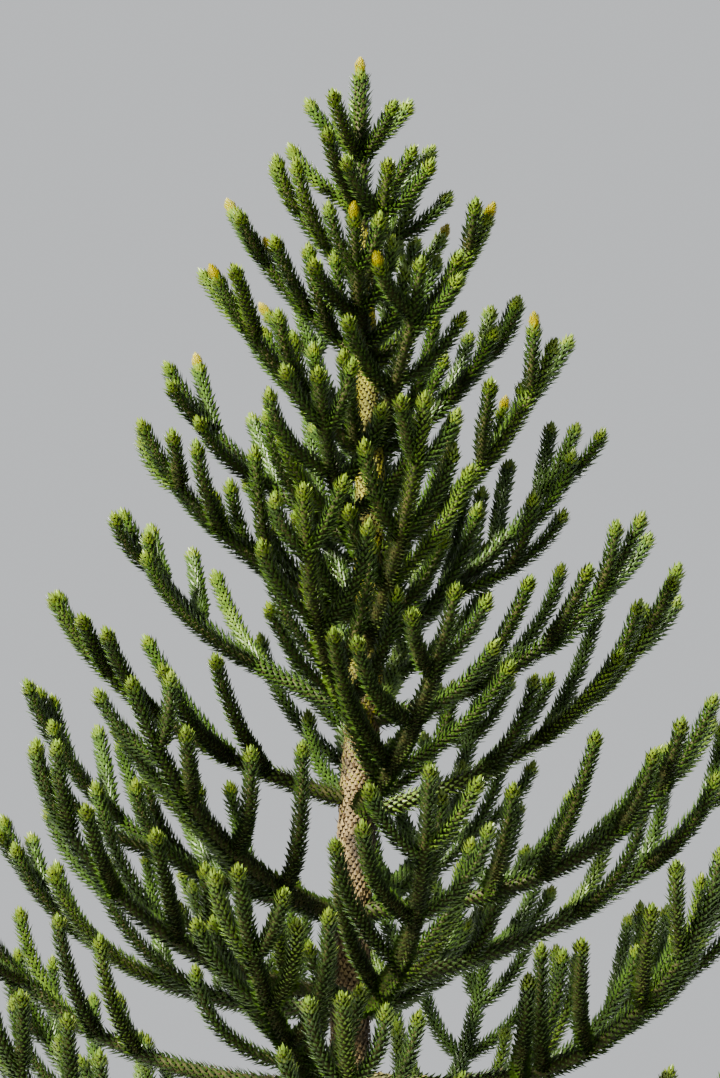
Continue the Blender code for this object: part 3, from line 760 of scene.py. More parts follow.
# A line of leaves: at each point, how large they are, how far they lean out and how far out they stand
Line = namedtuple("Line", "points size lean out")
LINE_FIELDS = ("size", "lean", "out")
LEAF_SOCKETS = (
    ("Leaf", "NodeSocketObject"),
    ("Spacing", "NodeSocketFloat"),
    ("Turn", "NodeSocketFloat"),
    ("Uneven lean", "NodeSocketFloat"),
    ("Uneven size", "NodeSocketFloat"),
    ("Seed", "NodeSocketInt"),
    ("Root material", "NodeSocketMaterial"),
    ("Outer material", "NodeSocketMaterial"),
)

# The inputs of a Random Value node go by number, because they share their names
RANDOM_LEAST = 2
RANDOM_MOST = 3
RANDOM_SEED = 8


@functools.lru_cache(maxsize=1)
def spiral_leaves():
    """A node tree that sets leaves in a spiral along lines, by the sizes, leans and distances there."""
    tree = bpy.data.node_groups.new("spiral_leaves", "GeometryNodeTree")
    tree.interface.new_socket("Lines", in_out="INPUT", socket_type="NodeSocketGeometry")
    for name, kind in LEAF_SOCKETS:
        tree.interface.new_socket(name, in_out="INPUT", socket_type=kind)
    tree.interface.new_socket("Leaves", in_out="OUTPUT", socket_type="NodeSocketGeometry")
    given = add_node(tree, "NodeGroupInput").outputs
    read = {}
    for name in LINE_FIELDS:
        reader = add_node(tree, "GeometryNodeInputNamedAttribute", {"data_type": "FLOAT"}, {"Name": name})
        read[name] = reader.outputs["Attribute"]

    # Places along the lines, and which way each line runs there
    curves = add_node(tree, "GeometryNodeMeshToCurve", inputs={"Mesh": given["Lines"]})
    spaced = {"Curve": curves.outputs["Curve"], "Length": given["Spacing"]}
    spots = add_node(tree, "GeometryNodeCurveToPoints", {"mode": "LENGTH"}, spaced).outputs
    ways = {"Primary Axis": spots["Tangent"], "Secondary Axis": spots["Normal"]}
    axes = {"primary_axis": "Z", "secondary_axis": "X"}
    along = add_node(tree, "FunctionNodeAxesToRotation", axes, ways).outputs["Rotation"]

    # Each leaf is turned on from the one before it
    number = add_node(tree, "GeometryNodeInputIndex").outputs["Index"]
    turn = add_node(tree, "ShaderNodeMath", {"operation": "MULTIPLY"}, {0: number, 1: given["Turn"]})
    round_line = {"Axis": (0, 0, 1), "Angle": turn.outputs["Value"]}
    spin = add_node(tree, "FunctionNodeAxisAngleToRotation", inputs=round_line).outputs["Rotation"]
    spun = {"Rotation": along, "Rotate By": spin}
    turned = add_node(tree, "FunctionNodeRotateRotation", {"rotation_space": "LOCAL"}, spun)
    turned = turned.outputs["Rotation"]

    # No two leaves are quite alike in lean and size
    uneven = {}
    for name in ("Uneven lean", "Uneven size"):
        least = add_node(tree, "ShaderNodeMath", {"operation": "MULTIPLY"}, {0: given[name], 1: -1.0})
        span = {RANDOM_LEAST: least.outputs["Value"], RANDOM_MOST: given[name], RANDOM_SEED: given["Seed"]}
        uneven[name] = add_node(tree, "FunctionNodeRandomValue", inputs=span).outputs["Value"]
    leans = {0: read["lean"], 1: uneven["Uneven lean"]}
    lean = add_node(tree, "ShaderNodeMath", {"operation": "ADD"}, leans).outputs["Value"]
    outward = {"Axis": (0, 1, 0), "Angle": lean}
    tilt = add_node(tree, "FunctionNodeAxisAngleToRotation", inputs=outward).outputs["Rotation"]
    leaning = {"Rotation": turned, "Rotate By": tilt}
    tilted = add_node(tree, "FunctionNodeRotateRotation", {"rotation_space": "LOCAL"}, leaning)
    shares = {0: uneven["Uneven size"], 1: 1.0}
    share = add_node(tree, "ShaderNodeMath", {"operation": "ADD"}, shares).outputs["Value"]
    sizes = {0: read["size"], 1: share}
    size = add_node(tree, "ShaderNodeMath", {"operation": "MULTIPLY"}, sizes).outputs["Value"]

    # The leaves themselves, out from the line
    out = add_node(tree, "ShaderNodeCombineXYZ", inputs={"X": read["out"]}).outputs["Vector"]
    offset = add_node(tree, "FunctionNodeRotateVector", inputs={"Vector": out, "Rotation": turned})
    moved = {"Geometry": spots["Points"], "Offset": offset.outputs["Vector"]}
    moved = add_node(tree, "GeometryNodeSetPosition", inputs=moved).outputs["Geometry"]
    leaf = add_node(tree, "GeometryNodeObjectInfo", inputs={"Object": given["Leaf"]})
    set_out = {
        "Points": moved,
        "Instance": leaf.outputs["Geometry"],
        "Rotation": tilted.outputs["Rotation"],
        "Scale": size,
    }
    leaves = add_node(tree, "GeometryNodeInstanceOnPoints", inputs=set_out).outputs["Instances"]
    real = add_node(tree, "GeometryNodeRealizeInstances", inputs={"Geometry": leaves})
    outer = add_node(tree, "GeometryNodeInputNamedAttribute", {"data_type": "BOOLEAN"}, {"Name": "outer"})
    root = {"Geometry": real.outputs["Geometry"], "Material": given["Root material"]}
    root = add_node(tree, "GeometryNodeSetMaterial", inputs=root).outputs["Geometry"]
    whole = {"Geometry": root, "Selection": outer.outputs["Attribute"], "Material": given["Outer material"]}
    whole = add_node(tree, "GeometryNodeSetMaterial", inputs=whole).outputs["Geometry"]
    add_node(tree, "NodeGroupOutput", inputs={"Leaves": whole})
    return tree


def lines_object(name, lines):
    """An object of some lines, whose points say how the leaves stand there."""
    mesh = bpy.data.meshes.new(name)
    points = np.concatenate([line.points for line in lines])
    ends = np.cumsum([len(line.points) for line in lines])
    edges = np.column_stack([np.arange(len(points) - 1), np.arange(1, len(points))])
    edges = np.delete(edges, ends[:-1] - 1, axis=0)
    mesh.from_pydata(points.tolist(), edges.tolist(), [])
    for field in LINE_FIELDS:
        values = np.concatenate([getattr(line, field) for line in lines]).astype(np.float32)
        mesh.attributes.new(field, "FLOAT", "POINT").data.foreach_set("value", values)
    piece = bpy.data.objects.new(name, mesh)
    bpy.context.scene.collection.objects.link(piece)
    return piece


def set_leaves(name, lines, leaf, spacing, uneven, finishes, seed):
    """One mesh of all the leaves along some lines. finishes are for the leaves' roots and outer parts."""
    piece = lines_object(name, lines)
    bpy.context.scene.collection.objects.link(leaf)
    change = piece.modifiers.new("leaves", "NODES")
    change.node_group = spiral_leaves()
    values = {
        "Leaf": leaf,
        "Spacing": spacing,
        "Turn": math.radians(GOLDEN_ANGLE),
        "Uneven lean": math.radians(uneven[0]),
        "Uneven size": uneven[1],
        "Seed": seed,
        "Root material": finishes[0],
        "Outer material": finishes[1],
    }
    for socket in change.node_group.interface.items_tree:
        if socket.name in values:
            change[socket.identifier] = values[socket.name]
    leaves = apply_modifiers(piece)
    leaves.name = name
    for field in (*LINE_FIELDS, "outer"):
        if field in leaves.attributes:
            leaves.attributes.remove(leaves.attributes[field])
    drop(leaf)
    return piece


# Places of the leaves


def limb_girth(spray, share):
    """Radius of the wood inside a spray at shares of its length."""
    if spray.kind == "main":
        root = LIMB_ROOT_RADIUS + LIMB_ROOT_RADIUS_A_METRE * spray.limb.length
        return root + (MAIN_TIP_RADIUS - root) * share**MAIN_TAPER
    root, tip = LEADER_RADII if spray.kind == "leader" else SHOOT_RADII
    return root + (tip - root) * share


def line_points(limb, low, high, step=LINE_STEP):
    """Points along a limb between two distances from its root, and their shares of its length."""
    count = max(3, int((high - low) / step) + 1)
    shares = np.linspace(low, high, count) / limb.length
    return np.array([limb.at(share) for share in shares]), shares


def leaves_from(spray):
    """How far from a spray's root its grown leaves begin."""
    if spray.is_bough:
        return spray.limb.length * BOUGH_LEAVES_FROM
    if spray.kind == "main":
        return trunk_radius(spray.limb.points[0][2]) + OFF_TRUNK
    return 0.0 if spray.kind == "leader" else SHOOT_LEAVES_FROM


def mature_line(spray):
    """The line of a spray's grown leaves, from its root to just below its young tip."""
    limb = spray.limb
    points, shares = line_points(limb, leaves_from(spray), limb.length - YOUNG_LENGTH + YOUNG_OVERLAP)
    from_tip = (1 - shares) * limb.length
    lean = np.radians(np.interp(from_tip, *GROWN_LEANS))
    return Line(points, np.interp(from_tip, *GROWN_SIZES), lean, limb_girth(spray, shares) * GROWN_SINK)


def young_line(spray):
    """The line of the young leaves round a spray's tip, spread in a blunt tuft."""
    limb = spray.limb
    points, shares = line_points(limb, limb.length - YOUNG_LENGTH, limb.length - YOUNG_END, YOUNG_STEP)
    from_end = (1 - shares) * limb.length - YOUNG_END
    lean = np.radians(np.interp(from_end, *YOUNG_LEANS))
    return Line(points, np.ones(len(points)), lean, np.interp(from_end, *YOUNG_OUT))


def leaf_shape(given):
    """Length, width, thickness and bend of the leaves that a group of settings describes."""
    return given.length, given.width, given.thickness, given.bend


def old_line(centres, radii, sizes, leans):
    """The line of the old leaves on a stem of bark; sizes and leans have a value for each end."""
    shares = np.linspace(0, 1, len(centres))
    size = np.interp(shares, (0, 1), sizes)
    lean = np.radians(np.interp(shares, (0, 1), leans))
    return Line(centres, size, lean, radii - OLD_SINK)


def bud_body(spray):
    """Centres and radii along a bud, which stands round a spray's tip."""
    ahead = np.array(spray.limb.points[-1] - spray.limb.points[-2])
    ahead /= np.linalg.norm(ahead)
    shares = np.linspace(0, 1, BUD_STATIONS)
    places = spray.limb.points[-1] + ahead * (shares[:, None] * 2 - 1) * BUD_HALF_LENGTH
    radii = np.interp(shares, *zip(*BUD_SHAPE)) * BUD_RADIUS
    return places, radii


# Materials


# A pattern that lies in patches on a material, with sizes and depths in millimetres
Layer = namedtuple("Layer", "colour size detail stretch low high")
Relief = namedtuple("Relief", "size detail stretch depth")
EVEN = (1.0, 1.0, 1.0)


def natural_finish(name, ground, layers, roughness, reliefs=()):
    """A natural material: layers of colour over its ground, and relief on its surface.

    A layer fades in as its pattern goes from low to high."""
    finish = bpy.data.materials.new(name)
    finish.use_nodes = True
    tree = finish.node_tree
    tree.nodes.clear()
    place = add_node(tree, "ShaderNodeTexCoord").outputs["Object"]
    patterns = []
    for part in (*layers, *reliefs):
        mapped = add_node(tree, "ShaderNodeMapping", inputs={"Vector": place, "Scale": part.stretch})
        sizes = {"Vector": mapped.outputs["Vector"], "Scale": 1000 / part.size, "Detail": part.detail}
        patterns.append(add_node(tree, "ShaderNodeTexNoise", inputs=sizes).outputs["Fac"])
    colour = linear(ground)
    for layer, pattern in zip(layers, patterns):
        reach = {"Value": pattern, "From Min": layer.low, "From Max": layer.high}
        reach = add_node(tree, "ShaderNodeMapRange", {"interpolation_type": "SMOOTHSTEP"}, reach)
        # The colours of a Mix node are its sockets 6 and 7, and the colour that it gives is its output 2
        colours = {0: reach.outputs["Result"], 6: colour, 7: linear(layer.colour)}
        colour = add_node(tree, "ShaderNodeMix", {"data_type": "RGBA"}, colours).outputs[2]
    values = {"Base Color": colour, "Roughness": roughness, "IOR": NATURAL_IOR}
    for relief, pattern in zip(reliefs, patterns[len(layers) :]):
        height = {"Height": pattern, "Distance": relief.depth / 1000}
        if "Normal" in values:
            height["Normal"] = values["Normal"]
        values["Normal"] = add_node(tree, "ShaderNodeBump", inputs=height).outputs["Normal"]
    shader = add_node(tree, "ShaderNodeBsdfPrincipled", inputs=values)
    add_node(tree, "ShaderNodeOutputMaterial", inputs={"Surface": shader.outputs["BSDF"]})
    return finish


# Where this makes the leaves' roots and the old leaves' roots, their dark colours are painted shade, and on
# the buds the darker colour is painted shade.
def leaf_finish(name, colour, second, roughness):
    """Leathery leaf with a coat of wax: a broad dull shine, and two near colours in patches of a leaf's
    own length, so that neighbours differ a little."""
    patches = Layer(second, size=30, detail=2.0, stretch=EVEN, low=0.35, high=0.65)
    return natural_finish(name, colour, [patches], roughness)


def old_leaf_finish(name, colour, second, worn):
    """Leaf that has dried on the tree: dull, in two near colours, and weathered darker in patches as
    long as a hand."""
    patches = Layer(second, size=30, detail=2.0, stretch=EVEN, low=0.35, high=0.65)
    weathered = Layer(worn, size=110, detail=3.0, stretch=(1.0, 1.0, 0.7), low=0.42, high=0.60)
    return natural_finish(name, colour, [patches, weathered], OLD_LEAF_ROUGHNESS)


def bark_finish(name, colour, second):
    """Corky bark, dried and cracked by the weather: no shine, dull patches, and upright cracks. Real
    cracks are 1 mm wide, too fine to show, and these are 4 mm."""
    patches = Layer(second, size=18, detail=4.0, stretch=EVEN, low=0.35, high=0.65)
    cracks = Relief(size=4, detail=4.0, stretch=(1.0, 1.0, 0.35), depth=1.2)
    return natural_finish(name, colour, [patches], BARK_ROUGHNESS, [cracks])


def clay_finish(name, colour, second, bloom, grit):
    """Red clay, turned on a wheel and fired without a glaze: no shine, darker where the fire was hotter,
    faint level lines from the wheel, and lime that has dried on it in runs. The grit, really under 1 mm,
    is drawn coarser so that it shows."""
    fired = Layer(second, size=120, detail=4.0, stretch=EVEN, low=0.3, high=0.75)
    dusty = Layer(bloom, size=70, detail=6.0, stretch=(1.0, 1.0, 0.5), low=0.56, high=0.95)
    wheel = Relief(size=6, detail=2.0, stretch=(0.02, 0.02, 1.0), depth=0.7)
    grains = Relief(size=grit * 1000, detail=3.0, stretch=EVEN, depth=0.7)
    return natural_finish(name, colour, [fired, dusty], CLAY_ROUGHNESS, [wheel, grains])


def soil_finish(name, colour, second):
    """Damp potting soil, crumbled by hand: no shine, in dark and light crumbs. Its grains, really
    1 mm, are drawn as 3 mm so that they show."""
    crumbs = Layer(second, size=12, detail=5.0, stretch=EVEN, low=0.35, high=0.65)
    grains = Relief(size=3, detail=4.0, stretch=EVEN, depth=1.2)
    return natural_finish(name, colour, [crumbs], SOIL_ROUGHNESS, [grains])


def card_finish(name, colour):
    """Matt grey card under the plant: one even colour without shine, which takes soft shadows."""
    return natural_finish(name, colour, [], CARD_ROUGHNESS)


# Pot and soil


def turned_body(profile, sides):
    """Points and faces of a turned body. The profile of (radius, height) starts and ends on the axis."""
    turns = 2 * np.pi * np.arange(sides) / sides
    points = [(0.0, 0.0, profile[0][1]), (0.0, 0.0, profile[-1][1])]
    for radius, height in profile[1:-1]:
        points += [(radius * math.cos(turn), radius * math.sin(turn), height) for turn in turns]
    faces = []
    last = len(profile) - 3
    for side in range(sides):
        after = (side + 1) % sides
        faces.append((0, 2 + side, 2 + after))
        faces.append((1, 2 + last * sides + after, 2 + last * sides + side))
        for ring in range(last):
            high = 2 + ring * sides
            low = high + sides
            faces.append((high + side, low + side, low + after, high + after))
    return points, faces


def rounded(corner, before, after, radius, steps=5):
    """Points of a rounded corner of a profile, between the corners before and after it."""
    corner, before, after = (np.array(place) for place in (corner, before, after))
    first = corner + (before - corner) / np.linalg.norm(before - corner) * radius
    last = corner + (after - corner) / np.linalg.norm(after - corner) * radius
    shares = np.linspace(0, 1, steps)[:, None]
    arc = first * (1 - shares) ** 2 + corner * 2 * shares * (1 - shares) + last * shares**2
    return [tuple(place) for place in arc]


def pot_inner_radius(height):
    """Radius of the pot's inside at a height, growing evenly from the floor to the rim."""
    share = (height - POT_FLOOR) / (POT_HEIGHT - POT_FLOOR)
    return POT_FOOT_RADIUS - POT_WALL + (POT_BODY_RADIUS - POT_FOOT_RADIUS) * share


def pot_profile():
    """The pot's profile from the middle of its floor, over the rim and down to its foot."""
    rim_foot = POT_HEIGHT - POT_RIM_DEPTH
    body_top = POT_FOOT_RADIUS + (POT_BODY_RADIUS - POT_FOOT_RADIUS) * rim_foot / POT_HEIGHT
    corners = (
        ((pot_inner_radius(POT_FLOOR), POT_FLOOR), POT_FLOOR_ROUND),
        ((pot_inner_radius(POT_HEIGHT) + POT_FLARE, POT_HEIGHT), POT_RIM_ROUND),
        ((POT_RIM_RADIUS, POT_HEIGHT), POT_RIM_ROUND),
        ((POT_RIM_RADIUS - POT_RIM_TAPER, rim_foot), POT_RIM_FOOT_ROUND),
        *[((body_top + out, rim_foot - down), radius) for out, down, radius in POT_NECK],
        ((POT_FOOT_RADIUS, 0.0), POT_FOOT_ROUND),
    )
    places = [(0.0, POT_FLOOR), *(place for place, _ in corners), (0.0, 0.0)]
    profile = [places[0]]
    for number, (place, radius) in enumerate(corners):
        profile += rounded(place, places[number], places[number + 2], radius)
    return [*profile, places[-1]]


def drain_cutter():
    """An object of the pegs that cut the drain holes through the pot's floor.

    They are turned by half a side, so that no corner of theirs meets an edge of the floor."""
    half_side = Matrix.Rotation(math.pi / DRAIN_SIDES, 4, "Z")
    shape = bmesh.new()
    for number in range(DRAIN_COUNT):
        turn = 2 * math.pi * (number + 0.5) / DRAIN_COUNT
        centre = (DRAIN_CIRCLE * math.cos(turn), DRAIN_CIRCLE * math.sin(turn), POT_FLOOR / 2)
        bmesh.ops.create_cone(
            shape,
            cap_ends=True,
            segments=DRAIN_SIDES,
            radius1=DRAIN_RADIUS,
            radius2=DRAIN_RADIUS,
            depth=POT_FLOOR * 2,
            matrix=Matrix.Translation(centre) @ half_side,
        )
    mesh = bpy.data.meshes.new("drains")
    shape.to_mesh(mesh)
    shape.free()
    drains = bpy.data.objects.new("drains", mesh)
    bpy.context.scene.collection.objects.link(drains)
    return drains


def soil_profile():
    """Rings of the soil: the top from the middle out, then down the pot's inside to its floor."""
    top = SOIL_TOP - SOIL_SHOULDER
    low = POT_FLOOR + SEAT_GAP
    widest = pot_inner_radius(top) - 2 * SEAT_GAP
    level = [(widest * ring / SOIL_RINGS, SOIL_TOP) for ring in range(SOIL_RINGS + 1)]
    side = [
        (widest - SOIL_SHOULDER_IN, top - SOIL_SHOULDER_DEPTH),
        (pot_inner_radius(low) - 2 * SEAT_GAP, low),
    ]
    return [*level, *side, (0.0, low)]


def soil_height(radius, turn):
    """Height of the lumpy soil at a place, a little lower towards the pot's wall."""
    across = Vector((radius * math.cos(turn), radius * math.sin(turn), 0.0))
    lumps = sum(noise.noise(across * closeness) * height for closeness, height in SOIL_LUMPS)
    fall = SOIL_FALL * max(0.0, radius / POT_BODY_RADIUS - SOIL_FALL_FROM) ** 2
    return SOIL_TOP - SOIL_SINK + min(lumps, SOIL_LUMP_MOST) - fall


def crumb_lumps(count):
    """Points and faces of loose crumbs that lie on the soil between the trunk and the pot's wall."""
    shape = bmesh.new()
    bmesh.ops.create_icosphere(shape, subdivisions=1, radius=1.0)
    corners = np.array([corner.co for corner in shape.verts])
    triangles = [[corner.index for corner in face.verts] for face in shape.faces]
    shape.free()
    rng = random.Random(f"{SEED}/crumbs")
    high = pot_inner_radius(SOIL_TOP) - CRUMBS_OFF_WALL
    points = []
    faces = []
    for _ in range(count):
        size = CRUMB_LEAST * (1 + CRUMB_SPREAD * rng.random() ** 3)
        turn = rng.uniform(0, 2 * math.pi)
        reach = math.sqrt(rng.uniform(CRUMBS_FROM**2, high**2))
        stretch = np.array([rng.uniform(*limits) for limits in CRUMB_STRETCHES])
        uneven = np.array([rng.uniform(*CRUMB_UNEVEN) for _ in corners])[:, None]
        spin = np.array(Matrix.Rotation(rng.uniform(0, 2 * math.pi), 3, "Z"))
        lump = (corners * uneven * stretch * size) @ spin
        height = soil_height(reach, turn) + size * CRUMB_LIFT
        first = len(points)
        points += (lump + (reach * math.cos(turn), reach * math.sin(turn), height)).tolist()
        faces += [tuple(first + corner for corner in triangle) for triangle in triangles]
    return points, faces


# Bark


def trunk_rings():
    """Centres and radii of the trunk's rings, from a little way down in the soil to the leader."""
    heights = np.arange(TRUNK_FOOT - BARK_ROOT, TRUNK_TOP, BARK_STEP)
    centres = np.array([trunk_axis(height) for height in heights])
    return centres, np.array([trunk_radius(height) for height in heights])


def bough_rings(spray):
    """Shares of the length, centres and radii of the rings of a bough's inner part."""
    end = spray.limb.length * BOUGH_END
    shares = np.linspace(0, end, int(end / BARK_STEP)) / spray.limb.length
    centres = np.array([spray.limb.at(share) for share in shares])
    return shares, centres, limb_girth(spray, shares) + BOUGH_BARK_OUT


def boughs():
    """The sprays that are bare boughs near the trunk."""
    return [spray for spray in grow_tree() if spray.is_bough]


def old_leaf_lines():
    """The lines of the old leaves of each kind, on the trunk and then on the boughs."""
    lines = {kind: [] for kind in OLD_SPACINGS}
    centres, radii = trunk_rings()
    heights = centres[:, 2]
    for zone in TRUNK_ZONES:
        part = (heights > zone.low) & (heights < zone.high)
        lines[zone.kind].append(old_line(centres[part], radii[part], zone.sizes, zone.leans))
    for spray in boughs():
        shares, centres, radii = bough_rings(spray)
        ragged = (shares * spray.limb.length > RAGGED_OFF_TRUNK) & (shares < BOUGH_SHARE)
        lines["brown"].append(old_line(centres[ragged], radii[ragged], *BOUGH_RAGGED))
        scaly = shares < BOUGH_SCALES_TO
        lines["bough"].append(old_line(centres[scaly], radii[scaly], *BOUGH_SCALES))
    return lines


# Settings


class PuzzlePotSettings(bpy.types.PropertyGroup):
    """Sizes and colours of the pot"""

    clay: StringProperty(name="Clay", description="Colour of the fired clay", default="#8f4f34")
    fired: StringProperty(name="Fired", description="Colour of its hotter patches", default="#7c452c")
    bloom: StringProperty(
        name="Bloom", description="Colour of the lime that dries on it", default="#b79a84"
    )
    sides: IntProperty(name="Sides", description="Facets round the pot", default=120, min=24)
    grit: FloatProperty(name="Grit", description="Size of the clay's grit", default=0.003, unit="LENGTH")


class PuzzleSoilSettings(bpy.types.PropertyGroup):
    """Colours of the soil and number of its crumbs"""

    damp: StringProperty(name="Damp", description="Colour of the damp soil", default="#241a13")
    drier: StringProperty(name="Drier", description="Colour of its drier patches", default="#43321f")
    crumb: StringProperty(name="Crumb", description="Colour of the loose crumbs", default="#2e2117")
    crumb_light: StringProperty(
        name="Light crumb", description="Second colour of the crumbs", default="#5a4430"
    )
    crumbs: IntProperty(name="Crumbs", description="Number of loose crumbs", default=1500, min=1)


class PuzzleBarkSettings(bpy.types.PropertyGroup):
    """Colours of the bark, and of the wood inside the shoots"""

    old: StringProperty(name="Old bark", description="Colour of the lower trunk", default="#352d21")
    old_light: StringProperty(name="Old patches", description="Second colour of it", default="#5a4e39")
    young: StringProperty(name="Young bark", description="Colour of the upper trunk", default="#35300f")
    young_light: StringProperty(name="Young patches", description="Second colour of it", default="#6b6220")
    green: StringProperty(name="Green bark", description="Colour of boughs and shoots", default="#2a3014")
    green_light: StringProperty(name="Green patches", description="Second colour of it", default="#3f3d1d")


class PuzzleOldLeafSettings(bpy.types.PropertyGroup):
    """Sizes and colours of the old leaves on the trunk and the boughs"""

    length: FloatProperty(name="Length", description="Length of a scale", default=0.023, unit="LENGTH")
    width: FloatProperty(name="Width", description="Width of a scale", default=0.0145, unit="LENGTH")
    thickness: FloatProperty(
        name="Thickness", description="Depth of a scale's keel", default=0.0034, unit="LENGTH"
    )
    bend: FloatProperty(name="Bend", description="How far a tip bends in, by its length", default=0.16)
    # The old leaves' roots, deep between the scales, are painted darker than their outer parts: painted
    # shade in the gaps between the scales, with lighter patches.
    root: StringProperty(name="Root", description="Colour of the leaves' roots", default="#2b2311")
    root_light: StringProperty(name="Root patches", description="Second colour of them", default="#4a3a26")
    brown: StringProperty(name="Brown", description="Colour of the old leaves", default="#5d4f36")
    dead: StringProperty(name="Dead", description="Colour of the driest leaves", default="#5e4a30")
    brown_worn: StringProperty(name="Brown, worn", description="Worn brown leaves", default="#4b3e2b")
    tan: StringProperty(name="Tan", description="Second colour of the lower scales", default="#7a6a46")
    tan_worn: StringProperty(name="Tan, worn", description="Worn lower scales", default="#352d21")
    bough: StringProperty(name="Bough", description="Second colour on the boughs", default="#6f6a3c")
    bough_worn: StringProperty(name="Bough, worn", description="Worn scales on boughs", default="#3b3f22")
    ochre: StringProperty(name="Ochre", description="Colour of the upper trunk's scales", default="#6c6a1c")
    ochre_light: StringProperty(
        name="Ochre patches", description="Second colour of the upper scales", default="#7d7a22"
    )
    ochre_worn: StringProperty(name="Ochre, worn", description="Worn upper scales", default="#4c4c1e")


class PuzzleLeafSettings(bpy.types.PropertyGroup):
    """Sizes and colours of the leaves on the shoots, and colours of the buds"""

    length: FloatProperty(name="Length", description="Length of a leaf", default=0.030, unit="LENGTH")
    width: FloatProperty(name="Width", description="Width of a leaf", default=0.0118, unit="LENGTH")
    thickness: FloatProperty(
        name="Thickness", description="Depth of a leaf's keel", default=0.0024, unit="LENGTH"
    )
    bend: FloatProperty(name="Bend", description="How far a tip bends in, by its length", default=0.14)
    spacing: FloatProperty(
        name="Spacing", description="Length of shoot to a leaf", default=0.0013, unit="LENGTH"
    )
    most_length: FloatProperty(
        name="Most length", description="Length of shoots in one mesh", default=42.0, unit="LENGTH"
    )
    # The leaves' roots, deep inside a shoot, are painted darker than their outer parts: painted shade
    # between the leaves. Their lighter brownish patches are partly the leaves' own brown specks.
    base: StringProperty(name="Base", description="Colour of the leaves' roots", default="#1f2b0e")
    root_shade_patches: StringProperty(name="Base patches", description="Second colour of them", default="#38391a")
    deep: StringProperty(name="Deep green", description="Colour of the darkest sprays", default="#2e4316")
    mid: StringProperty(name="Middle green", description="Colour of the middling sprays", default="#3e561f")
    pale: StringProperty(name="Pale green", description="Colour of the palest sprays", default="#586e29")
    young: StringProperty(name="Young green", description="Colour of the shoots' tips", default="#5f6e26")
    golden: StringProperty(name="Golden", description="Colour of the buds", default="#827800")
    # The buds' darker second colour stands for scales in shade: painted shade, in patches.
    golden_shade: StringProperty(
        name="Golden patches", description="Second colour of the buds", default="#6c6a08"
    )


class PuzzleStageSettings(bpy.types.PropertyGroup):
    """Where the camera stands, and the colours of the floor and of what is all round"""

    camera_distance: FloatProperty(
        name="Camera distance", description="From the camera to the trunk", default=16.0, unit="LENGTH"
    )
    view_height: FloatProperty(
        name="Height in view", description="Height that the view takes in", default=3.083, unit="LENGTH"
    )
    view_middle: FloatProperty(
        name="Middle of view", description="Height of the view's middle", default=2.7715, unit="LENGTH"
    )
    camera_lift: FloatProperty(
        name="Camera lift", description="How many degrees the camera looks up", default=2.0
    )
    floor: StringProperty(name="Floor", description="Colour of the floor", default="#b9bbbd")
    backdrop: FloatVectorProperty(
        name="Backdrop", description="Colour all round", default=(0.86, 0.88, 0.90), subtype="COLOR"
    )


# Operators


class PUZZLE_OT_stage(bpy.types.Operator):
    """Set up the plain floor, the soft lights and the camera"""

    bl_idname = "puzzle.stage"
    bl_label = "Stage"

    def execute(self, context):
        given = context.scene.puzzle_stage
        scene = context.scene
        bpy.ops.mesh.primitive_circle_add(vertices=FLOOR_SIDES, radius=FLOOR_RADIUS, fill_type="NGON")
        floor = context.object
        floor.name = "floor"
        floor.data.materials.append(card_finish("matt_card", given.floor))
        scene.view_settings.look = "AgX - Medium High Contrast"
        scene.world = bpy.data.worlds.new("studio")
        scene.world.use_nodes = True
        glow = scene.world.node_tree.nodes["Background"]
        glow.inputs["Color"].default_value = (*given.backdrop, 1.0)
        glow.inputs["Strength"].default_value = GLOW
        middle = Vector((0.0, 0.0, given.view_middle))
        for lamp in LAMPS:
            light = bpy.data.lights.new(lamp.name, "AREA")
            light.size = lamp.size
            light.energy = lamp.power
            light.color = linear(lamp.colour)[:3]
            stand = bpy.data.objects.new(lamp.name, light)
            stand.location = lamp.place
            stand.rotation_euler = (middle - Vector(lamp.place)).to_track_quat("-Z", "Y").to_euler()
            scene.collection.objects.link(stand)
        lens = bpy.data.cameras.new("camera")
        lens.sensor_fit = "VERTICAL"
        lens.sensor_height = SENSOR_HEIGHT
        lens.lens = SENSOR_HEIGHT * given.camera_distance / given.view_height
        lens.clip_end = FAR_CLIP
        camera = bpy.data.objects.new("camera", lens)
        lift = math.radians(given.camera_lift)
        ahead = Vector((0.0, math.cos(lift), math.sin(lift)))
        camera.location = middle - ahead * given.camera_distance
        camera.rotation_euler = ahead.to_track_quat("-Z", "Y").to_euler()
        scene.collection.objects.link(camera)
        scene.camera = camera
        return {"FINISHED"}


class PUZZLE_OT_pot(bpy.types.Operator):
    """Make the clay pot with its rim and drain holes"""

    bl_idname = "puzzle.pot"
    bl_label = "Pot"

    def execute(self, context):
        given = context.scene.puzzle_pot
        finish = clay_finish("fired_clay", given.clay, given.fired, given.bloom, given.grit)
        points, faces = turned_body(pot_profile(), given.sides)
        pot = mesh_object("clay_pot", points, faces, finish)
        drains = drain_cutter()
        change = pot.modifiers.new("drains", "BOOLEAN")
        change.operation = "DIFFERENCE"
        change.object = drains
        cut = apply_modifiers(pot)
        drop(drains)
        if len(cut.polygons) == len(faces):
            raise RuntimeError("The drain holes weren't cut")
        cut.set_sharp_from_angle(angle=math.radians(POT_SHARP_ANGLE))
        finished(pot, "terracotta", "pot")
        return {"FINISHED"}


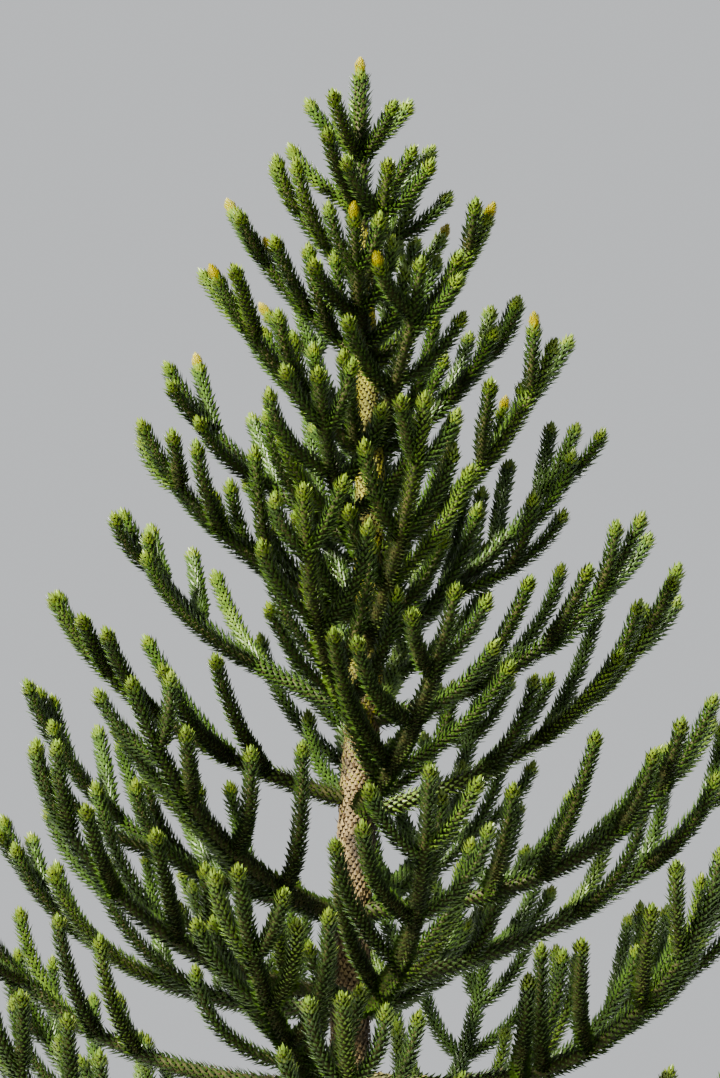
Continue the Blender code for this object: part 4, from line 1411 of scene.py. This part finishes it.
class PUZZLE_OT_soil(bpy.types.Operator):
    """Make the lumpy soil and the crumbs on it"""

    bl_idname = "puzzle.soil"
    bl_label = "Soil"

    def execute(self, context):
        given = context.scene.puzzle_soil
        finish = soil_finish("damp_soil", given.damp, given.drier)
        points, faces = turned_body(soil_profile(), SOIL_SIDES)
        for number, (across, along, height) in enumerate(points):
            if height == SOIL_TOP:
                lumpy = soil_height(math.hypot(across, along), math.atan2(along, across))
                points[number] = (across, along, lumpy)
        finished(mesh_object("soil_bed", points, faces, finish), "soil", "soil")
        finish = soil_finish("soil_crumb", given.crumb, given.crumb_light)
        points, faces = crumb_lumps(given.crumbs)
        finished(mesh_object("soil_crumbs", points, faces, finish), "soil")
        return {"FINISHED"}


class PUZZLE_OT_bark(bpy.types.Operator):
    """Make the trunk and the bare inner boughs with their leaf scars"""

    bl_idname = "puzzle.bark"
    bl_label = "Bark"

    def execute(self, context):
        given = context.scene.puzzle_bark
        old = bark_finish("old_bark", given.old, given.old_light)
        young = bark_finish("young_bark", given.young, given.young_light)
        centres, radii = trunk_rings()
        points, faces = rings(centres, scarred(radii, BARK_SIDES, TRUNK_SCARS))
        trunk = mesh_object("trunk_bark", points, faces, old)
        trunk.data.materials.append(young)
        for face in trunk.data.polygons:
            face.material_index = int(face.center.z > (BLEND_FROM + BLEND_TO) / 2)
        finished(trunk, "bark", "trunk")
        bodies = []
        for spray in boughs():
            _, centres, radii = bough_rings(spray)
            bodies.append((centres, scarred(radii, BOUGH_BARK_SIDES, BOUGH_SCARS)))
        points, faces = joined_rings(bodies)
        green = bark_finish("green_bark", given.green, given.green_light)
        nodes = [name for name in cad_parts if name.startswith("bough")]
        finished(mesh_object("bough_bark", points, faces, green), "bark", *nodes)
        return {"FINISHED"}


class PUZZLE_OT_old_leaves(bpy.types.Operator):
    """Set the old leaves that cover the trunk and the boughs"""

    bl_idname = "puzzle.old_leaves"
    bl_label = "Old leaves"

    def execute(self, context):
        given = context.scene.puzzle_old_leaves
        broad = leaf_shape(given)
        slender = leaf_shape(context.scene.puzzle_leaves)
        colours = {
            "brown": (given.brown, given.dead, given.brown_worn),
            "tan": (given.brown, given.tan, given.tan_worn),
            "bough": (given.brown, given.bough, given.bough_worn),
            "ochre": (given.ochre, given.ochre_light, given.ochre_worn),
        }
        # The old leaves' roots take a darker material: painted shade between the scales.
        roots = leaf_finish("old_leaf_root", given.root, given.root_light, OLD_ROOT_ROUGHNESS)
        for kind, lines in old_leaf_lines().items():
            leaf = leaf_object(*(slender if kind == "brown" else broad))
            finishes = (roots, old_leaf_finish(f"old_leaf_{kind}", *colours[kind]))
            spacing = OLD_SPACINGS[kind]
            piece = set_leaves(f"leaves_{kind}", lines, leaf, spacing, OLD_UNEVEN, finishes, SEED)
            finished(piece, "bark")
        return {"FINISHED"}


class PUZZLE_OT_stems(bpy.types.Operator):
    """Make the green wood inside every spray"""

    bl_idname = "puzzle.stems"
    bl_label = "Stems"

    def execute(self, context):
        given = context.scene.puzzle_bark
        finish = leaf_finish("green_shoot_bark", given.green, given.green_light, STEM_ROUGHNESS)
        bodies = []
        for spray in grow_tree():
            points, shares = line_points(spray.limb, 0.0, spray.limb.length)
            radii = limb_girth(spray, shares)
            radii[-1] = STEM_END_RADIUS
            if spray.is_bough:
                beyond = shares > BOUGH_SHARE
                points, radii = points[beyond], radii[beyond]
            bodies.append((points, np.repeat(radii[:, None], STEM_SIDES, axis=1)))
        points, faces = joined_rings(bodies)
        masses = [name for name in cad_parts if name.startswith(("foliage", "leader"))]
        finished(mesh_object("shoot_stems", points, faces, finish), "foliage", *masses)
        return {"FINISHED"}


class PUZZLE_OT_leaves(bpy.types.Operator):
    """Set the leaves along every spray, each green apart, and the young ones at the tips"""

    bl_idname = "puzzle.leaves"
    bl_label = "Leaves"

    def execute(self, context):
        given = context.scene.puzzle_leaves
        length, *others = leaf_shape(given)
        second = {"deep": given.mid, "mid": given.deep, "pale": given.mid}
        # The roots' material is painted shade between the leaves.
        base = leaf_finish("leaf_base", given.base, given.root_shade_patches, LEAF_BASE_ROUGHNESS)
        seed = SEED
        for tone in TONES:
            finish = leaf_finish(f"{tone}_leaf", getattr(given, tone), second[tone], LEAF_ROUGHNESS)
            lines = [mature_line(spray) for spray in grow_tree() if spray.tone == tone]
            pieces = math.ceil(sum(len(line.points) for line in lines) * LINE_STEP / given.most_length)
            for number in range(pieces):
                seed += 1
                name = f"leaves_{tone}_{number + 1}"
                part = lines[number::pieces]
                leaf = leaf_object(length, *others)
                piece = set_leaves(name, part, leaf, given.spacing, GROWN_UNEVEN, (base, finish), seed)
                finished(piece, "foliage")
        finish = leaf_finish("young_leaf", given.young, given.pale, YOUNG_ROUGHNESS)
        lines = [young_line(spray) for spray in grow_tree()]
        leaf = leaf_object(length * YOUNG_SHARE, *others)
        spacing = given.spacing * YOUNG_SPACING_SHARE
        piece = set_leaves("leaves_young", lines, leaf, spacing, YOUNG_UNEVEN, (base, finish), seed)
        finished(piece, "foliage")
        return {"FINISHED"}


class PUZZLE_OT_buds(bpy.types.Operator):
    """Make the golden buds at some of the tips"""

    bl_idname = "puzzle.buds"
    bl_label = "Buds"

    def execute(self, context):
        given = context.scene.puzzle_leaves
        # Its darker patches are painted shade on the buds' scales.
        finish = leaf_finish("golden_bud", given.golden, given.golden_shade, BUD_ROUGHNESS)
        cores = []
        lines = []
        for centres, radii in (bud_body(spray) for spray in grow_tree() if spray.has_bud):
            radii = radii * BUD_CORE_SHARE
            cores.append((centres, np.repeat(radii[:, None], BUD_CORE_SIDES, axis=1)))
            shares = np.linspace(0, 1, len(centres))
            lean = np.radians(np.interp(shares, *BUD_LEANS))
            lines.append(Line(centres, np.interp(shares, *BUD_SIZES), lean, radii))
        points, faces = joined_rings(cores)
        finished(mesh_object("bud_cores", points, faces, finish), "foliage")
        scale = leaf_object(*BUD_SCALE)
        piece = set_leaves("bud_scales", lines, scale, BUD_SPACING, BUD_UNEVEN, (finish, finish), SEED)
        finished(piece, "foliage")
        return {"FINISHED"}


class PUZZLE_PT_panel(bpy.types.Panel):
    """Every setting, and a button for every group of pieces"""

    bl_label = "Monkey puzzle"
    bl_idname = "PUZZLE_PT_panel"
    bl_space_type = "VIEW_3D"
    bl_region_type = "UI"
    bl_category = "Monkey puzzle"

    def draw(self, context):
        for name, kind in SETTINGS.items():
            box = self.layout.box()
            box.label(text=kind.__doc__)
            for setting in kind.__annotations__:
                box.prop(getattr(context.scene, name), setting)
        for kind in OPERATORS:
            self.layout.operator(kind.bl_idname)


SETTINGS = {
    "puzzle_stage": PuzzleStageSettings,
    "puzzle_pot": PuzzlePotSettings,
    "puzzle_soil": PuzzleSoilSettings,
    "puzzle_bark": PuzzleBarkSettings,
    "puzzle_old_leaves": PuzzleOldLeafSettings,
    "puzzle_leaves": PuzzleLeafSettings,
}
OPERATORS = (
    PUZZLE_OT_stage,
    PUZZLE_OT_pot,
    PUZZLE_OT_soil,
    PUZZLE_OT_bark,
    PUZZLE_OT_old_leaves,
    PUZZLE_OT_stems,
    PUZZLE_OT_leaves,
    PUZZLE_OT_buds,
)


def register():
    """Registers the settings, the operators and the panel."""
    for kind in (*SETTINGS.values(), *OPERATORS, PUZZLE_PT_panel):
        bpy.utils.register_class(kind)
    for name, kind in SETTINGS.items():
        setattr(bpy.types.Scene, name, PointerProperty(type=kind))


def unregister():
    """Takes out what register put in."""
    for name in SETTINGS:
        delattr(bpy.types.Scene, name)
    for kind in (PUZZLE_PT_panel, *reversed(OPERATORS), *reversed(SETTINGS.values())):
        bpy.utils.unregister_class(kind)


def main():
    """Makes the stage and every piece."""
    register()
    bpy.ops.puzzle.stage()
    bpy.ops.puzzle.pot()
    bpy.ops.puzzle.soil()
    bpy.ops.puzzle.bark()
    bpy.ops.puzzle.old_leaves()
    bpy.ops.puzzle.stems()
    bpy.ops.puzzle.leaves()
    bpy.ops.puzzle.buds()


if __name__ == "__main__":
    main()
